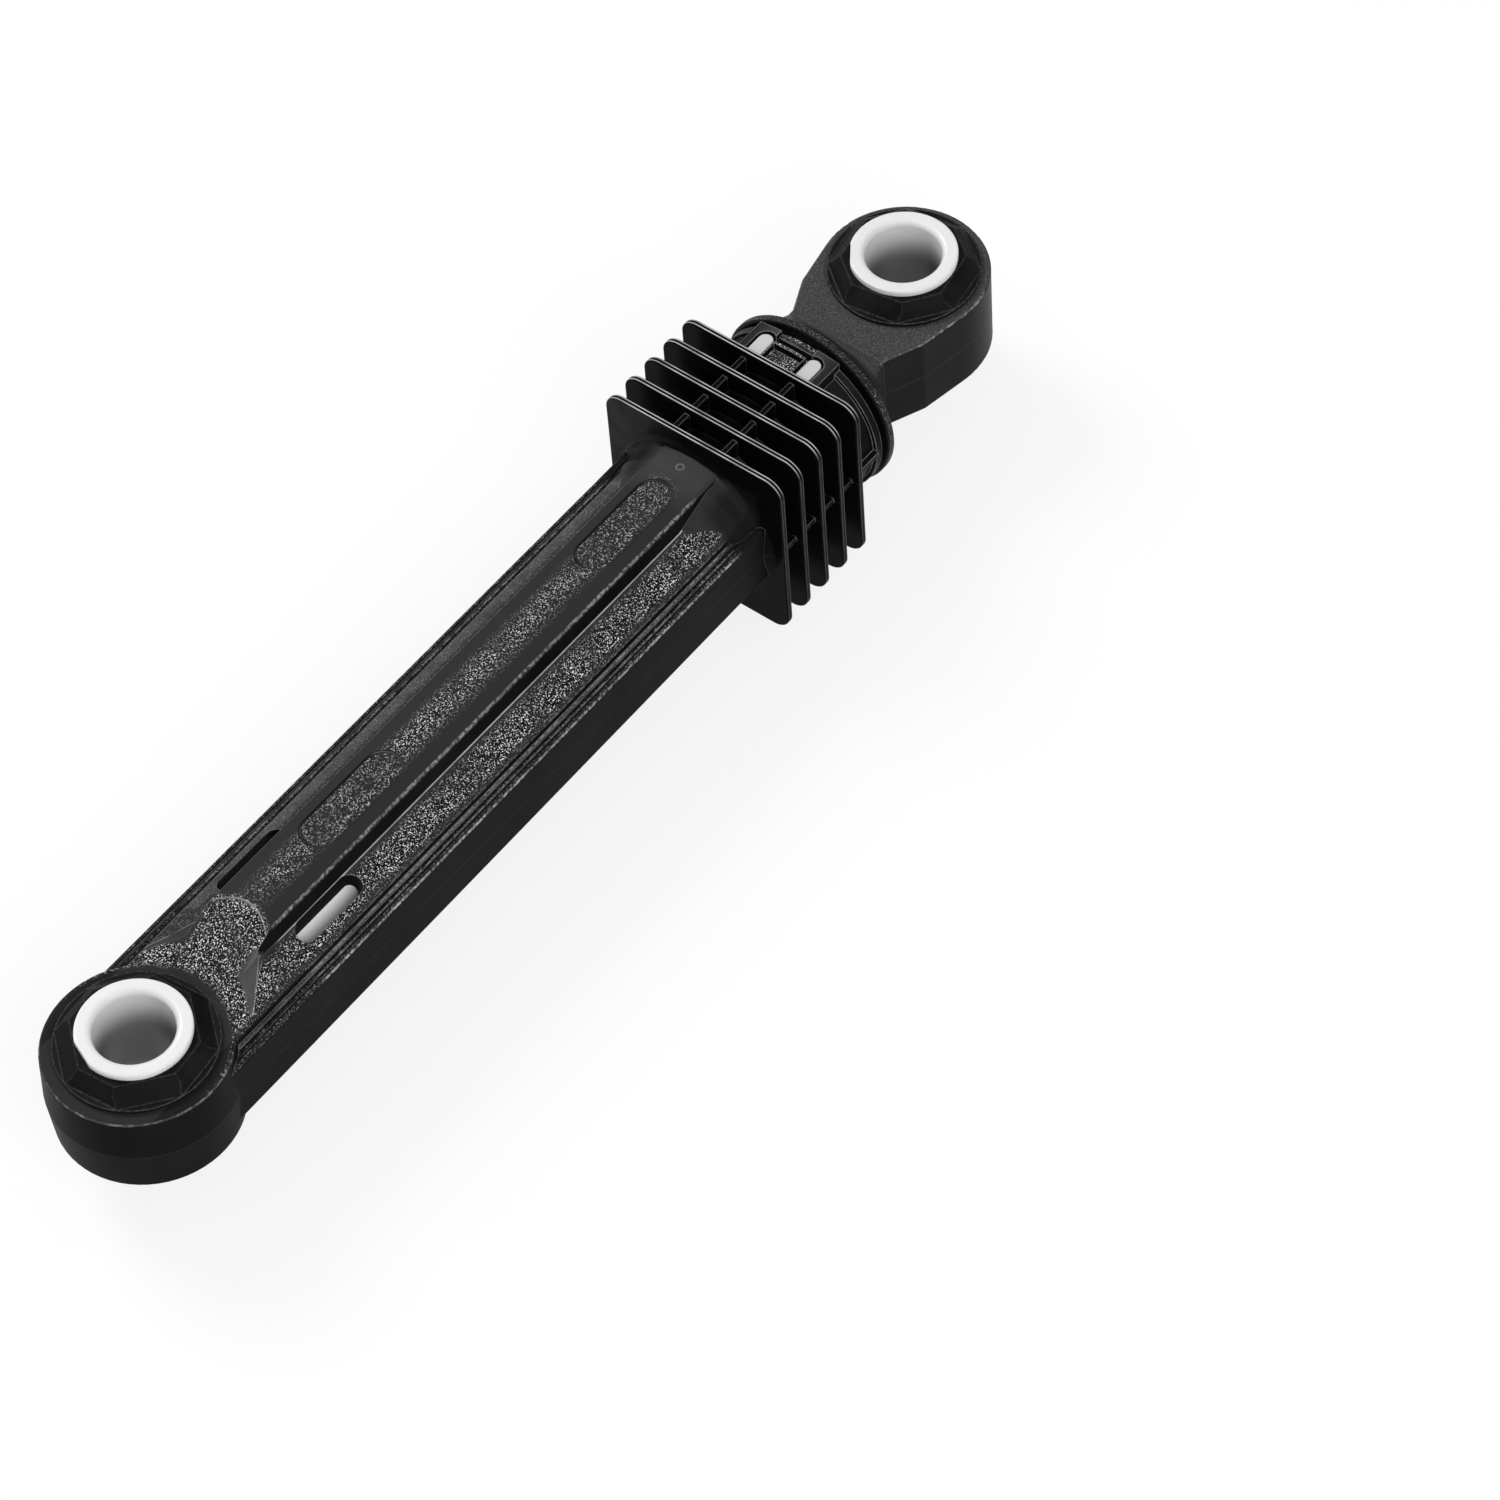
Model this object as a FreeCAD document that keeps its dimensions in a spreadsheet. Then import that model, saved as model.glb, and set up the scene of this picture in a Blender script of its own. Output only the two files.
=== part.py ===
import FreeCAD, Part
import math
import os
import re

import Sketcher
from FreeCAD import Placement, Rotation, Vector

# Friction damper for the tub of a washing machine, closed, in millimetres.
# The origin is the centre of the housing's bush. +X runs along the damper to the plunger's bush,
# +Z along both bushes towards their flanges. The damper is the same above and below its middle
# plane, and to the left and right of its axis, apart from the bushes' flanges and slits.

# Driving sizes. Radii of the tube, bore and collars are about the damper's axis, heights are
# above its middle plane, and half widths are from its axis.
SIZES = {
    # bushes
    "bush_bore_radius": 7.0,
    "sleeve_wall": 1.03,
    "sleeve_flange_radius": 9.87,
    "sleeve_flange_thickness": 1.2,
    "sleeve_flange_edge_radius": 0.35,
    "sleeve_flange_flat": 9.5,
    "sleeve_mouth_radius": 1.1,
    "sleeve_tail": 3.2,
    "sleeve_slit_width": 0.5,
    "housing_sleeve_turn": -22.0,
    "plunger_sleeve_turn": -54.0,
    "bush_fit": 0.03,
    "rubber_waist_radius": 12.2,
    "rubber_base_radius": 14.0,
    "rubber_base_height": 0.8,
    "rubber_foot_radius": 13.9,
    "rubber_foot_corner_angle": 22.5,
    "rubber_ridge_radius": 12.6,
    "rubber_ridge_height": 2.4,
    "rubber_ridge_corner_angle": 18.5,
    "rubber_crown_radius": 11.3,
    "rubber_crown_height": 1.1,
    "housing_rubber_turn": -39.0,
    "plunger_rubber_turn": 9.0,
    "rubber_recess_radius": 9.4,
    "rubber_recess_depth": 0.6,
    # housing eye and neck
    "eye_radius": 16.3,
    "eye_middle_radius": 16.8,
    "eye_half_thickness": 8.8,
    "eye_edge_radius": 0.6,
    "ramp_start": 14.0,
    "ramp_angle": 24.0,
    "neck_half_width": 11.4,
    "neck_flare_place": 17.0,
    "neck_flare_half_width": 9.2,
    "neck_waist_place": 20.2,
    "neck_waist_half_width": 6.1,
    "neck_end": 25.5,
    "neck_end_half_width": 5.7,
    "neck_foot_half_width": 11.9,
    "neck_foot_height": 8.5,
    "neck_foot_end_height": 11.9,
    "neck_spare_share": 0.5,
    # housing body
    "body_start": 4.5,
    "body_half_width": 15.6,
    "block_half_width": 6.1,
    "block_foot_half_width": 6.5,
    "block_shoulder_height": 14.7,
    "block_foot_height": 11.0,
    "block_arch_radius": 18.0,
    "block_edge_radius": 0.9,
    "wing_slope_run": 1.4,
    "wing_edge_height": 9.1,
    "wing_shoulder_radius": 3.0,
    "rail_width": 3.0,
    "rail_height": 6.6,
    "rail_edge_radius": 0.8,
    "rail_outer_land": 1.3,
    "rail_groove_width": 1.2,
    "rail_groove_depth": 0.35,
    "bore_radius": 9.8,
    "bore_start": 22.0,
    "bore_end_gap": 5.8,
    # breather slots beside the raised block
    "slot_start": 31.0,
    "slot_end": 46.5,
    "slot_inner": 6.6,
    "slot_wing_bite": 0.1,
    "slot_floor_inner": 6.2,
    "slot_floor_outer": 8.2,
    "slot_floor_height": 5.0,
    # ovals on the raised block
    "oval_half_width": 3.5,
    "oval_length": 23.0,
    "oval_depth": 0.35,
    "oval_first_start": 44.1,
    "oval_second_start": 117.4,
    # fins
    "fin_start": 148.1,
    "fin_pitch": 5.4,
    "fin_count": 5,
    "fin_thickness": 1.3,
    "fin_height": 4.18,
    "fin_corner_radius": 3.5,
    "fin_edge_radius": 0.3,
    "core_radius": 15.2,
    "shoulder_start": 135.0,
    "shoulder_start_radius": 12.6,
    "shoulder_length": 9.0,
    "shoulder_fillet": 2.4,
    "rib_spread": 5.3,
    "rib_thickness": 1.0,
    "rib_drop": 1.48,
    "rib_root_depth": 1.0,
    # mouth of the housing
    "mouth_collar_height": 1.5,
    "mouth_collar_length": 6.5,
    "mouth_ring_height": 0.8,
    "mouth_ring_length": 1.5,
    "mouth_groove_depth": 1.2,
    "mouth_groove_length": 1.2,
    "bridge_half_width": 8.7,
    "bridge_arch_radius": 48.0,
    "panel_gap": 1.0,
    "panel_half_width": 3.3,
    "panel_length": 3.8,
    "panel_depth": 0.9,
    "ridge_thickness": 0.5,
    "ridge_groove_depth": 1.2,
    "window_half_width": 4.0,
    "window_length": 1.9,
    # chamber of the linings
    "chamber_radius": 13.6,
    "chamber_start_gap": 2.2,
    "carrier_fit": 0.08,
    "carrier_wall": 1.3,
    "carrier_lip": 1.2,
    "carrier_end_gap": 0.25,
    "carrier_length": 26.7,
    "carrier_split_gap": 6.0,
    "peg_length": 5.0,
    "peg_width": 2.8,
    "peg_rise": 0.1,
    "peg_clearance": 0.5,
    "peg_end_gap": 0.05,
    "lining_clearance": 0.3,
    # end cap
    "cap_thickness": 1.8,
    "cap_overhang": 0.6,
    "cap_edge_radius": 0.4,
    "cap_spigot_length": 1.6,
    "cap_bore_clearance": 0.3,
    "latch_drop": 0.1,
    "latch_slope_length": 0.6,
    "latch_slope_height": 1.0,
    "latch_root_depth": 1.0,
    "latch_play": 0.2,
    # plunger
    "tube_radius": 9.5,
    "tube_bore_radius": 5.2,
    "stop_gap": 0.3,
    "shoulder_disc_radius": 16.4,
    "shoulder_disc_thickness": 1.2,
    "shoulder_disc_edge_radius": 0.4,
    "flare_length": 5.6,
    "flare_root_step": 0.5,
    "flare_middle": 2.0,
    "flare_middle_half_width": 12.8,
    "flare_middle_half_height": 11.6,
    "flare_middle_radius": 6.5,
    "flare_corner_flat": 0.1,
    "plunger_neck_length": 26.95,
    "plunger_neck_half_width": 10.3,
    "plunger_neck_straight": 19.8,
    "plunger_side_corner": 12.5,
    "plunger_eye_radius": 15.65,
    "plunger_eye_edge_radius": 0.6,
    "plunger_eye_taper": 10.5,
    # guide on the inner end of the plunger
    "guide_length": 27.8,
    "guide_clearance": 0.1,
    "guide_end_play": 0.2,
    "spigot_radius": 7.2,
    "spigot_bead_height": 0.7,
    "spigot_bead_length": 1.2,
}

# Places and sizes that follow from the driving ones.
DERIVED = {
    "fin_half_width": "core_radius + fin_height",
    "rib_height": "fin_half_width - rib_drop",
    "mouth_collar_radius": "core_radius + mouth_collar_height",
    "mouth_ring_radius": "mouth_collar_radius + mouth_ring_height",
    "mouth_groove_radius": "mouth_collar_radius - mouth_groove_depth",
    "bridge_edge_height": "mouth_collar_radius",
    "cap_radius": "mouth_ring_radius + cap_overhang",
    "peg_height": "bridge_edge_height + peg_rise",
    "latch_height": "bridge_edge_height - latch_drop",
    "sleeve_radius": "bush_bore_radius + sleeve_wall",
    "rail_inner_half_width": "body_half_width - rail_width",
    "rail_groove_outer": "body_half_width - rail_outer_land",
    "rail_groove_inner": "rail_groove_outer - rail_groove_width",
    "wing_half_width": "rail_inner_half_width - wing_slope_run",
    "slot_outer": "wing_half_width + slot_wing_bite",
    "ramp_rise": "tan(ramp_angle * 1 deg)",
    "last_fin_end": "fin_start + fin_pitch * (fin_count - 1) + fin_thickness",
    "collar_end": "last_fin_end + mouth_collar_length",
    "ring_end": "collar_end + mouth_ring_length",
    "mouth_end": "ring_end + mouth_groove_length",
    "cap_end": "mouth_end + cap_thickness",
    "plunger_place": "cap_end + stop_gap + plunger_neck_length",
    "chamber_start": "fin_start + chamber_start_gap",
    "carrier_start": "chamber_start + carrier_end_gap",
    "carrier_end": "carrier_start + carrier_length",
    "carrier_radius": "chamber_radius - carrier_fit",
    "carrier_inner_radius": "carrier_radius - carrier_wall",
    "peg_end": "carrier_end + peg_end_gap",
    "peg_start": "peg_end - peg_length",
    "lining_radius": "tube_radius + lining_clearance",
    "spigot_start": "mouth_end - cap_spigot_length",
    "window_end": "ring_end",
    "window_start": "window_end - window_length",
    "panel_start": "last_fin_end + panel_gap",
    "panel_end": "panel_start + panel_length",
    "plunger_end": "bore_start + bore_end_gap - plunger_place",
    "bead_end": "plunger_end + spigot_bead_length",
    "guide_start": "bead_end + guide_end_play / 2",
    "tube_start": "guide_start + guide_length + guide_end_play / 2",
}

doc = FreeCAD.newDocument("tub_damper")
sheet = doc.addObject("Spreadsheet::Sheet", "Sizes")


def fill_sheet():
    """Writes each driving size into its own row, with its name as the alias."""
    for row, (name, value) in enumerate(SIZES.items(), start=1):
        sheet.set(f"A{row}", name)
        sheet.set(f"B{row}", str(value))
        sheet.setAlias(f"B{row}", name)
    doc.recompute()


def bound(text):
    """The text of a size with each derived name worked out and each driving name as a cell."""
    def replace(match):
        word = match.group()
        if word in DERIVED:
            return "(" + bound(DERIVED[word]) + ")"
        return "Sizes." + word if word in SIZES else word
    return re.sub(r"[a-z][a-z_]*", replace, str(text))


def size(text):
    """The value of a size given as text."""
    return float(sheet.evalExpression(bound(text)))


def minus(text):
    """The text of a size with its sign turned."""
    return f"0 - ({text})"


def bind(thing, name, text):
    """Ties a property or constraint of a thing to a size."""
    thing.setExpression(name, bound(text))


def new_body(name):
    """An empty body with its own name and label."""
    body = doc.addObject("PartDesign::Body", name)
    body.Label = name
    return body


def origin_part(body, role):
    """The plane or axis of a body's own origin that has the given role."""
    return next(item for item in body.Origin.OriginFeatures if item.Role == role)


def new_sketch(body, name, plane, offset=None):
    """A sketch on one of the body's origin planes, moved along its normal by an offset."""
    sketch = body.newObject("Sketcher::SketchObject", name)
    sketch.AttachmentSupport = [(origin_part(body, plane), "")]
    sketch.MapMode = "FlatFace"
    if offset is not None:
        bind(sketch, "AttachmentOffset.Base.z", offset)
    return sketch


def fix_point(sketch, edge, end, across, up):
    """Places one end of a sketch edge at two sizes from the sketch's origin."""
    for kind, text in (("DistanceX", across), ("DistanceY", up)):
        index = sketch.addConstraint(Sketcher.Constraint(kind, -1, 1, edge, end, size(text)))
        bind(sketch, f"Constraints[{index}]", text)


def arc_between(start, end, radius, left):
    """An arc under half a turn between two points, turning left or right."""
    middle = (start + end) / 2
    chord = end - start
    normal = Vector(-chord.y, chord.x, 0).normalize()
    depth = math.sqrt(max(radius ** 2 - (chord.Length / 2) ** 2, 0))
    centre = middle + normal * (depth if left else -depth)
    first, last = (start, end) if left else (end, start)
    angles = [math.atan2(point.y - centre.y, point.x - centre.x) for point in (first, last)]
    if angles[1] <= angles[0]:
        angles[1] += 2 * math.pi
    return Part.ArcOfCircle(Part.Circle(centre, Vector(0, 0, 1), radius), *angles)


def outline(sketch, corners):
    """A closed outline through corners, each (across, up) or (across, up, radius, turn).

    The radius and turn, "left" or "right", bend the stretch that leaves that corner.
    """
    points = [Vector(size(corner[0]), size(corner[1]), 0) for corner in corners]
    edges = []
    for index, corner in enumerate(corners):
        start = points[index]
        end = points[(index + 1) % len(points)]
        if len(corner) == 2:
            edge = sketch.addGeometry(Part.LineSegment(start, end), False)
            edges.append((edge, 1, 2))
            continue
        left = corner[3] == "left"
        edge = sketch.addGeometry(arc_between(start, end, size(corner[2]), left), False)
        edges.append((edge, 1, 2) if left else (edge, 2, 1))
        radius = sketch.addConstraint(Sketcher.Constraint("Radius", edge, size(corner[2])))
        bind(sketch, f"Constraints[{radius}]", corner[2])
    for index, corner in enumerate(corners):
        edge, first, _ = edges[index]
        before, _, last = edges[index - 1]
        sketch.addConstraint(Sketcher.Constraint("Coincident", before, last, edge, first))
        fix_point(sketch, edge, first, corner[0], corner[1])


def ring(sketch, radius, across="0"):
    """A circle on the sketch's first axis."""
    circle = Part.Circle(Vector(size(across), 0, 0), Vector(0, 0, 1), size(radius))
    edge = sketch.addGeometry(circle, False)
    fix_point(sketch, edge, 3, across, "0")
    index = sketch.addConstraint(Sketcher.Constraint("Radius", edge, size(radius)))
    bind(sketch, f"Constraints[{index}]", radius)


def rectangle(sketch, left, right, bottom, top):
    """A rectangle between four sizes."""
    outline(sketch, [(left, bottom), (right, bottom), (right, top), (left, top)])


def stadium(sketch, start, end, inner, outer):
    """A slot along the first axis with round ends that are half as wide as the slot is."""
    radius = f"abs(({outer}) - ({inner})) / 2"
    low, high = (inner, outer) if size(inner) < size(outer) else (outer, inner)
    outline(sketch, [
        (f"({start}) + {radius}", low),
        (f"({end}) - {radius}", low, f"{radius} * 1.0001", "left"),
        (f"({end}) - {radius}", high),
        (f"({start}) + {radius}", high, f"{radius} * 1.0001", "left"),
    ])


def bullet(sketch, start, end, centre, half_width):
    """A peg's outline: square at its start and round at its end."""
    turn = f"{half_width} * 1.0001"
    outline(sketch, [
        (start, f"{centre} - ({half_width})"),
        (f"{end} - ({half_width})", f"{centre} - ({half_width})", turn, "left"),
        (f"{end} - ({half_width})", f"{centre} + ({half_width})"),
        (start, f"{centre} + ({half_width})"),
    ])


def rounded_rectangle(sketch, half_width, half_height, radius):
    """A rectangle about the sketch's origin with four round corners."""
    corners = []
    for across, up, first in ((1, 1, "x"), (-1, 1, "y"), (-1, -1, "x"), (1, -1, "y")):
        side = (f"{across} * ({half_width})", f"{up} * (({half_height}) - ({radius}))")
        cap = (f"{across} * (({half_width}) - ({radius}))", f"{up} * ({half_height})")
        start, end = (side, cap) if first == "x" else (cap, side)
        corners += [start + (radius, "left"), end]
    outline(sketch, corners)


def extrude(body, kind, sketch, length, symmetric=False, reverse=False):
    """A pad or a pocket of a sketch over a length."""
    feature = body.newObject(f"PartDesign::{kind}", f"{sketch.Name}_{kind.lower()}")
    feature.Profile = sketch
    feature.SideType = "Symmetric" if symmetric else "One side"
    feature.Reversed = reverse
    bind(feature, "Length", length)
    body.Tip = feature
    return feature


def revolve(body, kind, sketch, axis="H_Axis", angle=360.0):
    """A revolution or a groove of a sketch about one of its axes."""
    feature = body.newObject(f"PartDesign::{kind}", f"{sketch.Name}_{kind.lower()}")
    feature.Profile = sketch
    feature.ReferenceAxis = (sketch, [axis])
    feature.Midplane = angle < 360.0
    feature.Angle = angle
    body.Tip = feature
    return feature


def loft(body, kind, sketches, ruled=True):
    """An additive or subtractive loft through sketches."""
    feature = body.newObject(f"PartDesign::{kind}", f"{sketches[0].Name}_loft")
    feature.Profile = sketches[0]
    feature.Sections = sketches[1:]
    feature.Ruled = ruled
    body.Tip = feature
    return feature


def fillet(body, base, wanted, radius):
    """Rounds the edges of a feature that the test picks out."""
    doc.recompute()
    names = [f"Edge{i}" for i, edge in enumerate(base.Shape.Edges, start=1) if wanted(edge)]
    feature = body.newObject("PartDesign::Fillet", f"{base.Name}_fillet")
    feature.Base = (base, names)
    bind(feature, "Radius", radius)
    body.Tip = feature
    return feature


def is_along_x(edge, half_width, height):
    """Whether an edge runs along X at a half width and a height, on any of the four sides."""
    ends = [vertex.Point for vertex in edge.Vertexes]
    if len(ends) < 2 or abs(ends[1].x - ends[0].x) < 1:
        return False
    near = [abs(abs(point.y) - size(half_width)) + abs(abs(point.z) - size(height)) for point in ends]
    return max(near) < 0.01


def make_sleeve(name, place, turn):
    """A sleeve with a flange at its upper end, slit from its lower end up to the flange.

    The flange has a small flat opposite the slit, and its bore opens with a round mouth.
    """
    body = new_body(name)
    bind(body, "Placement.Base.x", place)
    seat = "eye_half_thickness + rubber_ridge_height + rubber_crown_height"
    top = f"{seat} + sleeve_flange_thickness"
    bottom = "0 - eye_half_thickness - sleeve_tail"
    profile = new_sketch(body, f"{name}_profile", "XZ_Plane")
    outline(profile, [
        ("bush_bore_radius", bottom),
        ("sleeve_radius", bottom),
        ("sleeve_radius", seat),
        ("sleeve_flange_radius", seat),
        ("sleeve_flange_radius", f"{top} - sleeve_flange_edge_radius",
         "sleeve_flange_edge_radius", "left"),
        ("sleeve_flange_radius - sleeve_flange_edge_radius", top),
        ("bush_bore_radius + sleeve_mouth_radius", top, "sleeve_mouth_radius", "left"),
        ("bush_bore_radius", f"{top} - sleeve_mouth_radius"),
    ])
    revolve(body, "Revolution", profile, "V_Axis")
    slit = new_sketch(body, f"{name}_slit", "XY_Plane", seat)
    bind(slit, "AttachmentOffset.Rotation.Angle", turn)
    rectangle(slit, "bush_bore_radius / 2", "sleeve_flange_radius",
              "0 - sleeve_slit_width / 2", "sleeve_slit_width / 2")
    extrude(body, "Pocket", slit, "4 * (eye_half_thickness + sleeve_tail)")
    flat = new_sketch(body, f"{name}_flat", "XY_Plane", seat)
    bind(flat, "AttachmentOffset.Rotation.Angle", turn)
    rectangle(flat, "0 - 2 * sleeve_flange_radius", "0 - sleeve_flange_flat",
              "0 - sleeve_flange_radius", "sleeve_flange_radius")
    extrude(body, "Pocket", flat, "2 * sleeve_flange_thickness", reverse=True)
    return body


def octagon(sketch, radius, corner_angle, turn):
    """A turned octagon about the sketch's origin, with its corners at an angle from its diagonals."""
    corners = []
    for index in range(4):
        for side in (-1, 1):
            angle = f"({45 + 90 * index} + {turn} + {side} * {corner_angle}) * 1 deg"
            corners.append((f"{radius} * cos({angle})", f"{radius} * sin({angle})"))
    outline(sketch, corners)


def make_rubber(name, place, turn):
    """A rubber bush with a waist in the eye and an eight-sided lip on each face of it."""
    body = new_body(name)
    bind(body, "Placement.Base.x", place)
    waist = new_sketch(body, f"{name}_waist", "XY_Plane")
    ring(waist, "rubber_waist_radius")
    extrude(body, "Pad", waist, "2 * eye_half_thickness + rubber_base_height", symmetric=True)
    for side, sign in (("upper", 1), ("lower", -1)):
        def level(height):
            return f"{sign} * (eye_half_thickness + {height})"
        base = new_sketch(body, f"{name}_{side}_base", "XY_Plane", level("bush_fit"))
        ring(base, "rubber_base_radius")
        extrude(body, "Pad", base, "rubber_base_height - bush_fit", reverse=sign < 0)
        foot = new_sketch(body, f"{name}_{side}_foot", "XY_Plane", level("rubber_base_height"))
        octagon(foot, "rubber_foot_radius", "rubber_foot_corner_angle", turn)
        ridge = new_sketch(body, f"{name}_{side}_ridge", "XY_Plane", level("rubber_ridge_height"))
        octagon(ridge, "rubber_ridge_radius", "rubber_ridge_corner_angle", turn)
        crown_level = level("rubber_ridge_height + rubber_crown_height")
        crown = new_sketch(body, f"{name}_{side}_crown", "XY_Plane", crown_level)
        octagon(crown, "rubber_crown_radius", "rubber_ridge_corner_angle", turn)
        loft(body, "AdditiveLoft", [foot, ridge, crown])
    recess = new_sketch(body, f"{name}_recess", "XY_Plane", crown_level)
    ring(recess, "rubber_recess_radius")
    extrude(body, "Pocket", recess, "rubber_recess_depth", reverse=True)
    hole = new_sketch(body, f"{name}_hole", "XY_Plane")
    ring(hole, "sleeve_radius + bush_fit")
    extrude(body, "Pocket", hole, "4 * (eye_half_thickness + sleeve_tail)", symmetric=True)
    return body


def body_section(sketch):
    """The housing's cross-section: arched block, sloping wings and grooved side rails."""
    quarter = [
        ("block_half_width", "block_shoulder_height"),
        ("block_foot_half_width", "block_foot_height"),
        ("wing_half_width", "wing_edge_height", "wing_shoulder_radius"),
        ("rail_inner_half_width", "rail_height"),
        ("rail_groove_inner", "rail_height"),
        ("rail_groove_inner", "rail_height - rail_groove_depth"),
        ("rail_groove_outer", "rail_height - rail_groove_depth"),
        ("rail_groove_outer", "rail_height"),
        ("body_half_width", "rail_height"),
    ]
    corners = []
    for across, up, forward in ((1, 1, True), (1, -1, False), (-1, -1, True), (-1, 1, False)):
        steps = quarter if forward else quarter[::-1]
        for index, step in enumerate(steps):
            corner = (f"{across} * ({step[0]})", f"{up} * ({step[1]})")
            bends_from = step if forward else steps[(index + 1) % len(steps)]
            if len(bends_from) == 3:
                corner += (bends_from[2], "right")
            corners.append(corner)
        if not forward:
            corners[-1] += ("block_arch_radius", "right")
    outline(sketch, corners)


def neck_section(body, name, place, half_width):
    """The neck's cross-section at a place: flanks that fall from its top on the ramp to its foot.

    The flanks run on above the ramp by a share of their own size, so that the ramp cuts them clean.
    """
    along = f"(({place}) - ramp_start) / (neck_end - ramp_start)"
    foot = f"(neck_foot_half_width + {along} * (block_half_width - neck_foot_half_width))"
    foot_height = f"(neck_foot_height + {along} * (neck_foot_end_height - neck_foot_height))"
    ramp_height = f"(eye_half_thickness + (({place}) - ramp_start) * ramp_rise)"
    top = f"({half_width} - neck_spare_share * ({foot} - {half_width}))"
    top_height = f"({ramp_height} + neck_spare_share * ({ramp_height} - {foot_height}))"
    section = new_sketch(body, name, "YZ_Plane", place)
    outline(section, [
        (top, top_height),
        (minus(top), top_height),
        (minus(foot), foot_height),
        (minus(foot), minus(foot_height)),
        (minus(top), minus(top_height)),
        (top, minus(top_height)),
        (foot, minus(foot_height)),
        (foot, foot_height),
    ])
    return section


def add_body(body):
    """The long body and its flared neck, cut back together by the ramp on each side."""
    section = new_sketch(body, "section", "YZ_Plane", "body_start")
    body_section(section)
    long_body = extrude(body, "Pad", section, "fin_start - body_start")
    rounded = fillet(body, long_body,
                     lambda edge: is_along_x(edge, "block_half_width", "block_shoulder_height"),
                     "block_edge_radius")
    fillet(body, rounded, lambda edge: is_along_x(edge, "body_half_width", "rail_height"),
           "rail_edge_radius")
    loft(body, "AdditiveLoft", [
        neck_section(body, "neck_root", "ramp_start", "neck_half_width"),
        neck_section(body, "neck_flare", "neck_flare_place", "neck_flare_half_width"),
        neck_section(body, "neck_waist", "neck_waist_place", "neck_waist_half_width"),
        neck_section(body, "neck_tip", "neck_end", "neck_end_half_width"),
    ], ruled=False)
    top = "2 * block_shoulder_height"
    ramp_top = f"ramp_start + ({top} - eye_half_thickness) / ramp_rise"
    for side, sign in (("upper", 1), ("lower", -1)):
        ramp = new_sketch(body, f"{side}_ramp", "XZ_Plane")
        corners = [
            ("0", f"{sign} * eye_half_thickness"),
            ("ramp_start", f"{sign} * eye_half_thickness"),
            (ramp_top, f"{sign} * ({top})"),
            ("0", f"{sign} * ({top})"),
        ]
        outline(ramp, corners)
        extrude(body, "Pocket", ramp, "4 * body_half_width", symmetric=True)


def is_fin_rim(edge):
    """Whether an edge lies on the outer rim of a fin's front or back face."""
    ends = [vertex.Point for vertex in edge.Vertexes]
    if len(ends) < 2 or abs(ends[1].x - ends[0].x) > 0.01:
        return False
    return min(max(abs(point.y), abs(point.z)) for point in ends) > size("fin_half_width") - 0.01


def add_fins(body):
    """The square cooling fins, the core that carries them and the shoulder before the first."""
    core = new_sketch(body, "core", "XZ_Plane")
    fillet_start = "fin_start - shoulder_fillet"
    outline(core, [
        ("shoulder_start", "0"),
        ("shoulder_start", "shoulder_start_radius"),
        ("shoulder_start + shoulder_length", "core_radius"),
        (fillet_start, "core_radius", "shoulder_fillet", "left"),
        ("fin_start", "core_radius + shoulder_fillet"),
        ("fin_start", "core_radius"),
        ("last_fin_end", "core_radius"),
        ("last_fin_end", "mouth_collar_radius"),
        ("collar_end", "mouth_collar_radius"),
        ("collar_end", "mouth_ring_radius"),
        ("ring_end", "mouth_ring_radius"),
        ("ring_end", "mouth_groove_radius"),
        ("mouth_end", "mouth_groove_radius"),
        ("mouth_end", "0"),
    ])
    revolve(body, "Revolution", core)
    plate = new_sketch(body, "fin", "YZ_Plane", "fin_start")
    rounded_rectangle(plate, "fin_half_width", "fin_half_width", "fin_corner_radius")
    first = extrude(body, "Pad", plate, "fin_thickness")
    row = body.newObject("PartDesign::LinearPattern", "fin_row")
    row.Originals = [first]
    row.Direction = (origin_part(body, "X_Axis"), [""])
    bind(row, "Length", "fin_pitch * (fin_count - 1)")
    bind(row, "Occurrences", "fin_count")
    body.Tip = row
    fillet(body, row, is_fin_rim, "fin_edge_radius")
    rib_root = "core_radius - rib_root_depth"
    rib_spans = ((rib_root, "rib_height"), (minus("rib_height"), minus(rib_root)))
    ribs = new_sketch(body, "ribs", "YZ_Plane", "fin_start")
    for centre in ("rib_spread", "0 - rib_spread"):
        for low, high in rib_spans:
            rectangle(ribs, f"{centre} - rib_thickness / 2", f"{centre} + rib_thickness / 2", low, high)
    extrude(body, "Pad", ribs, "last_fin_end - fin_start")
    side_ribs = new_sketch(body, "side_ribs", "YZ_Plane", "fin_start")
    for low, high in rib_spans:
        rectangle(side_ribs, low, high, "0 - rib_thickness / 2", "rib_thickness / 2")
    extrude(body, "Pad", side_ribs, "collar_end - fin_start")


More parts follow.
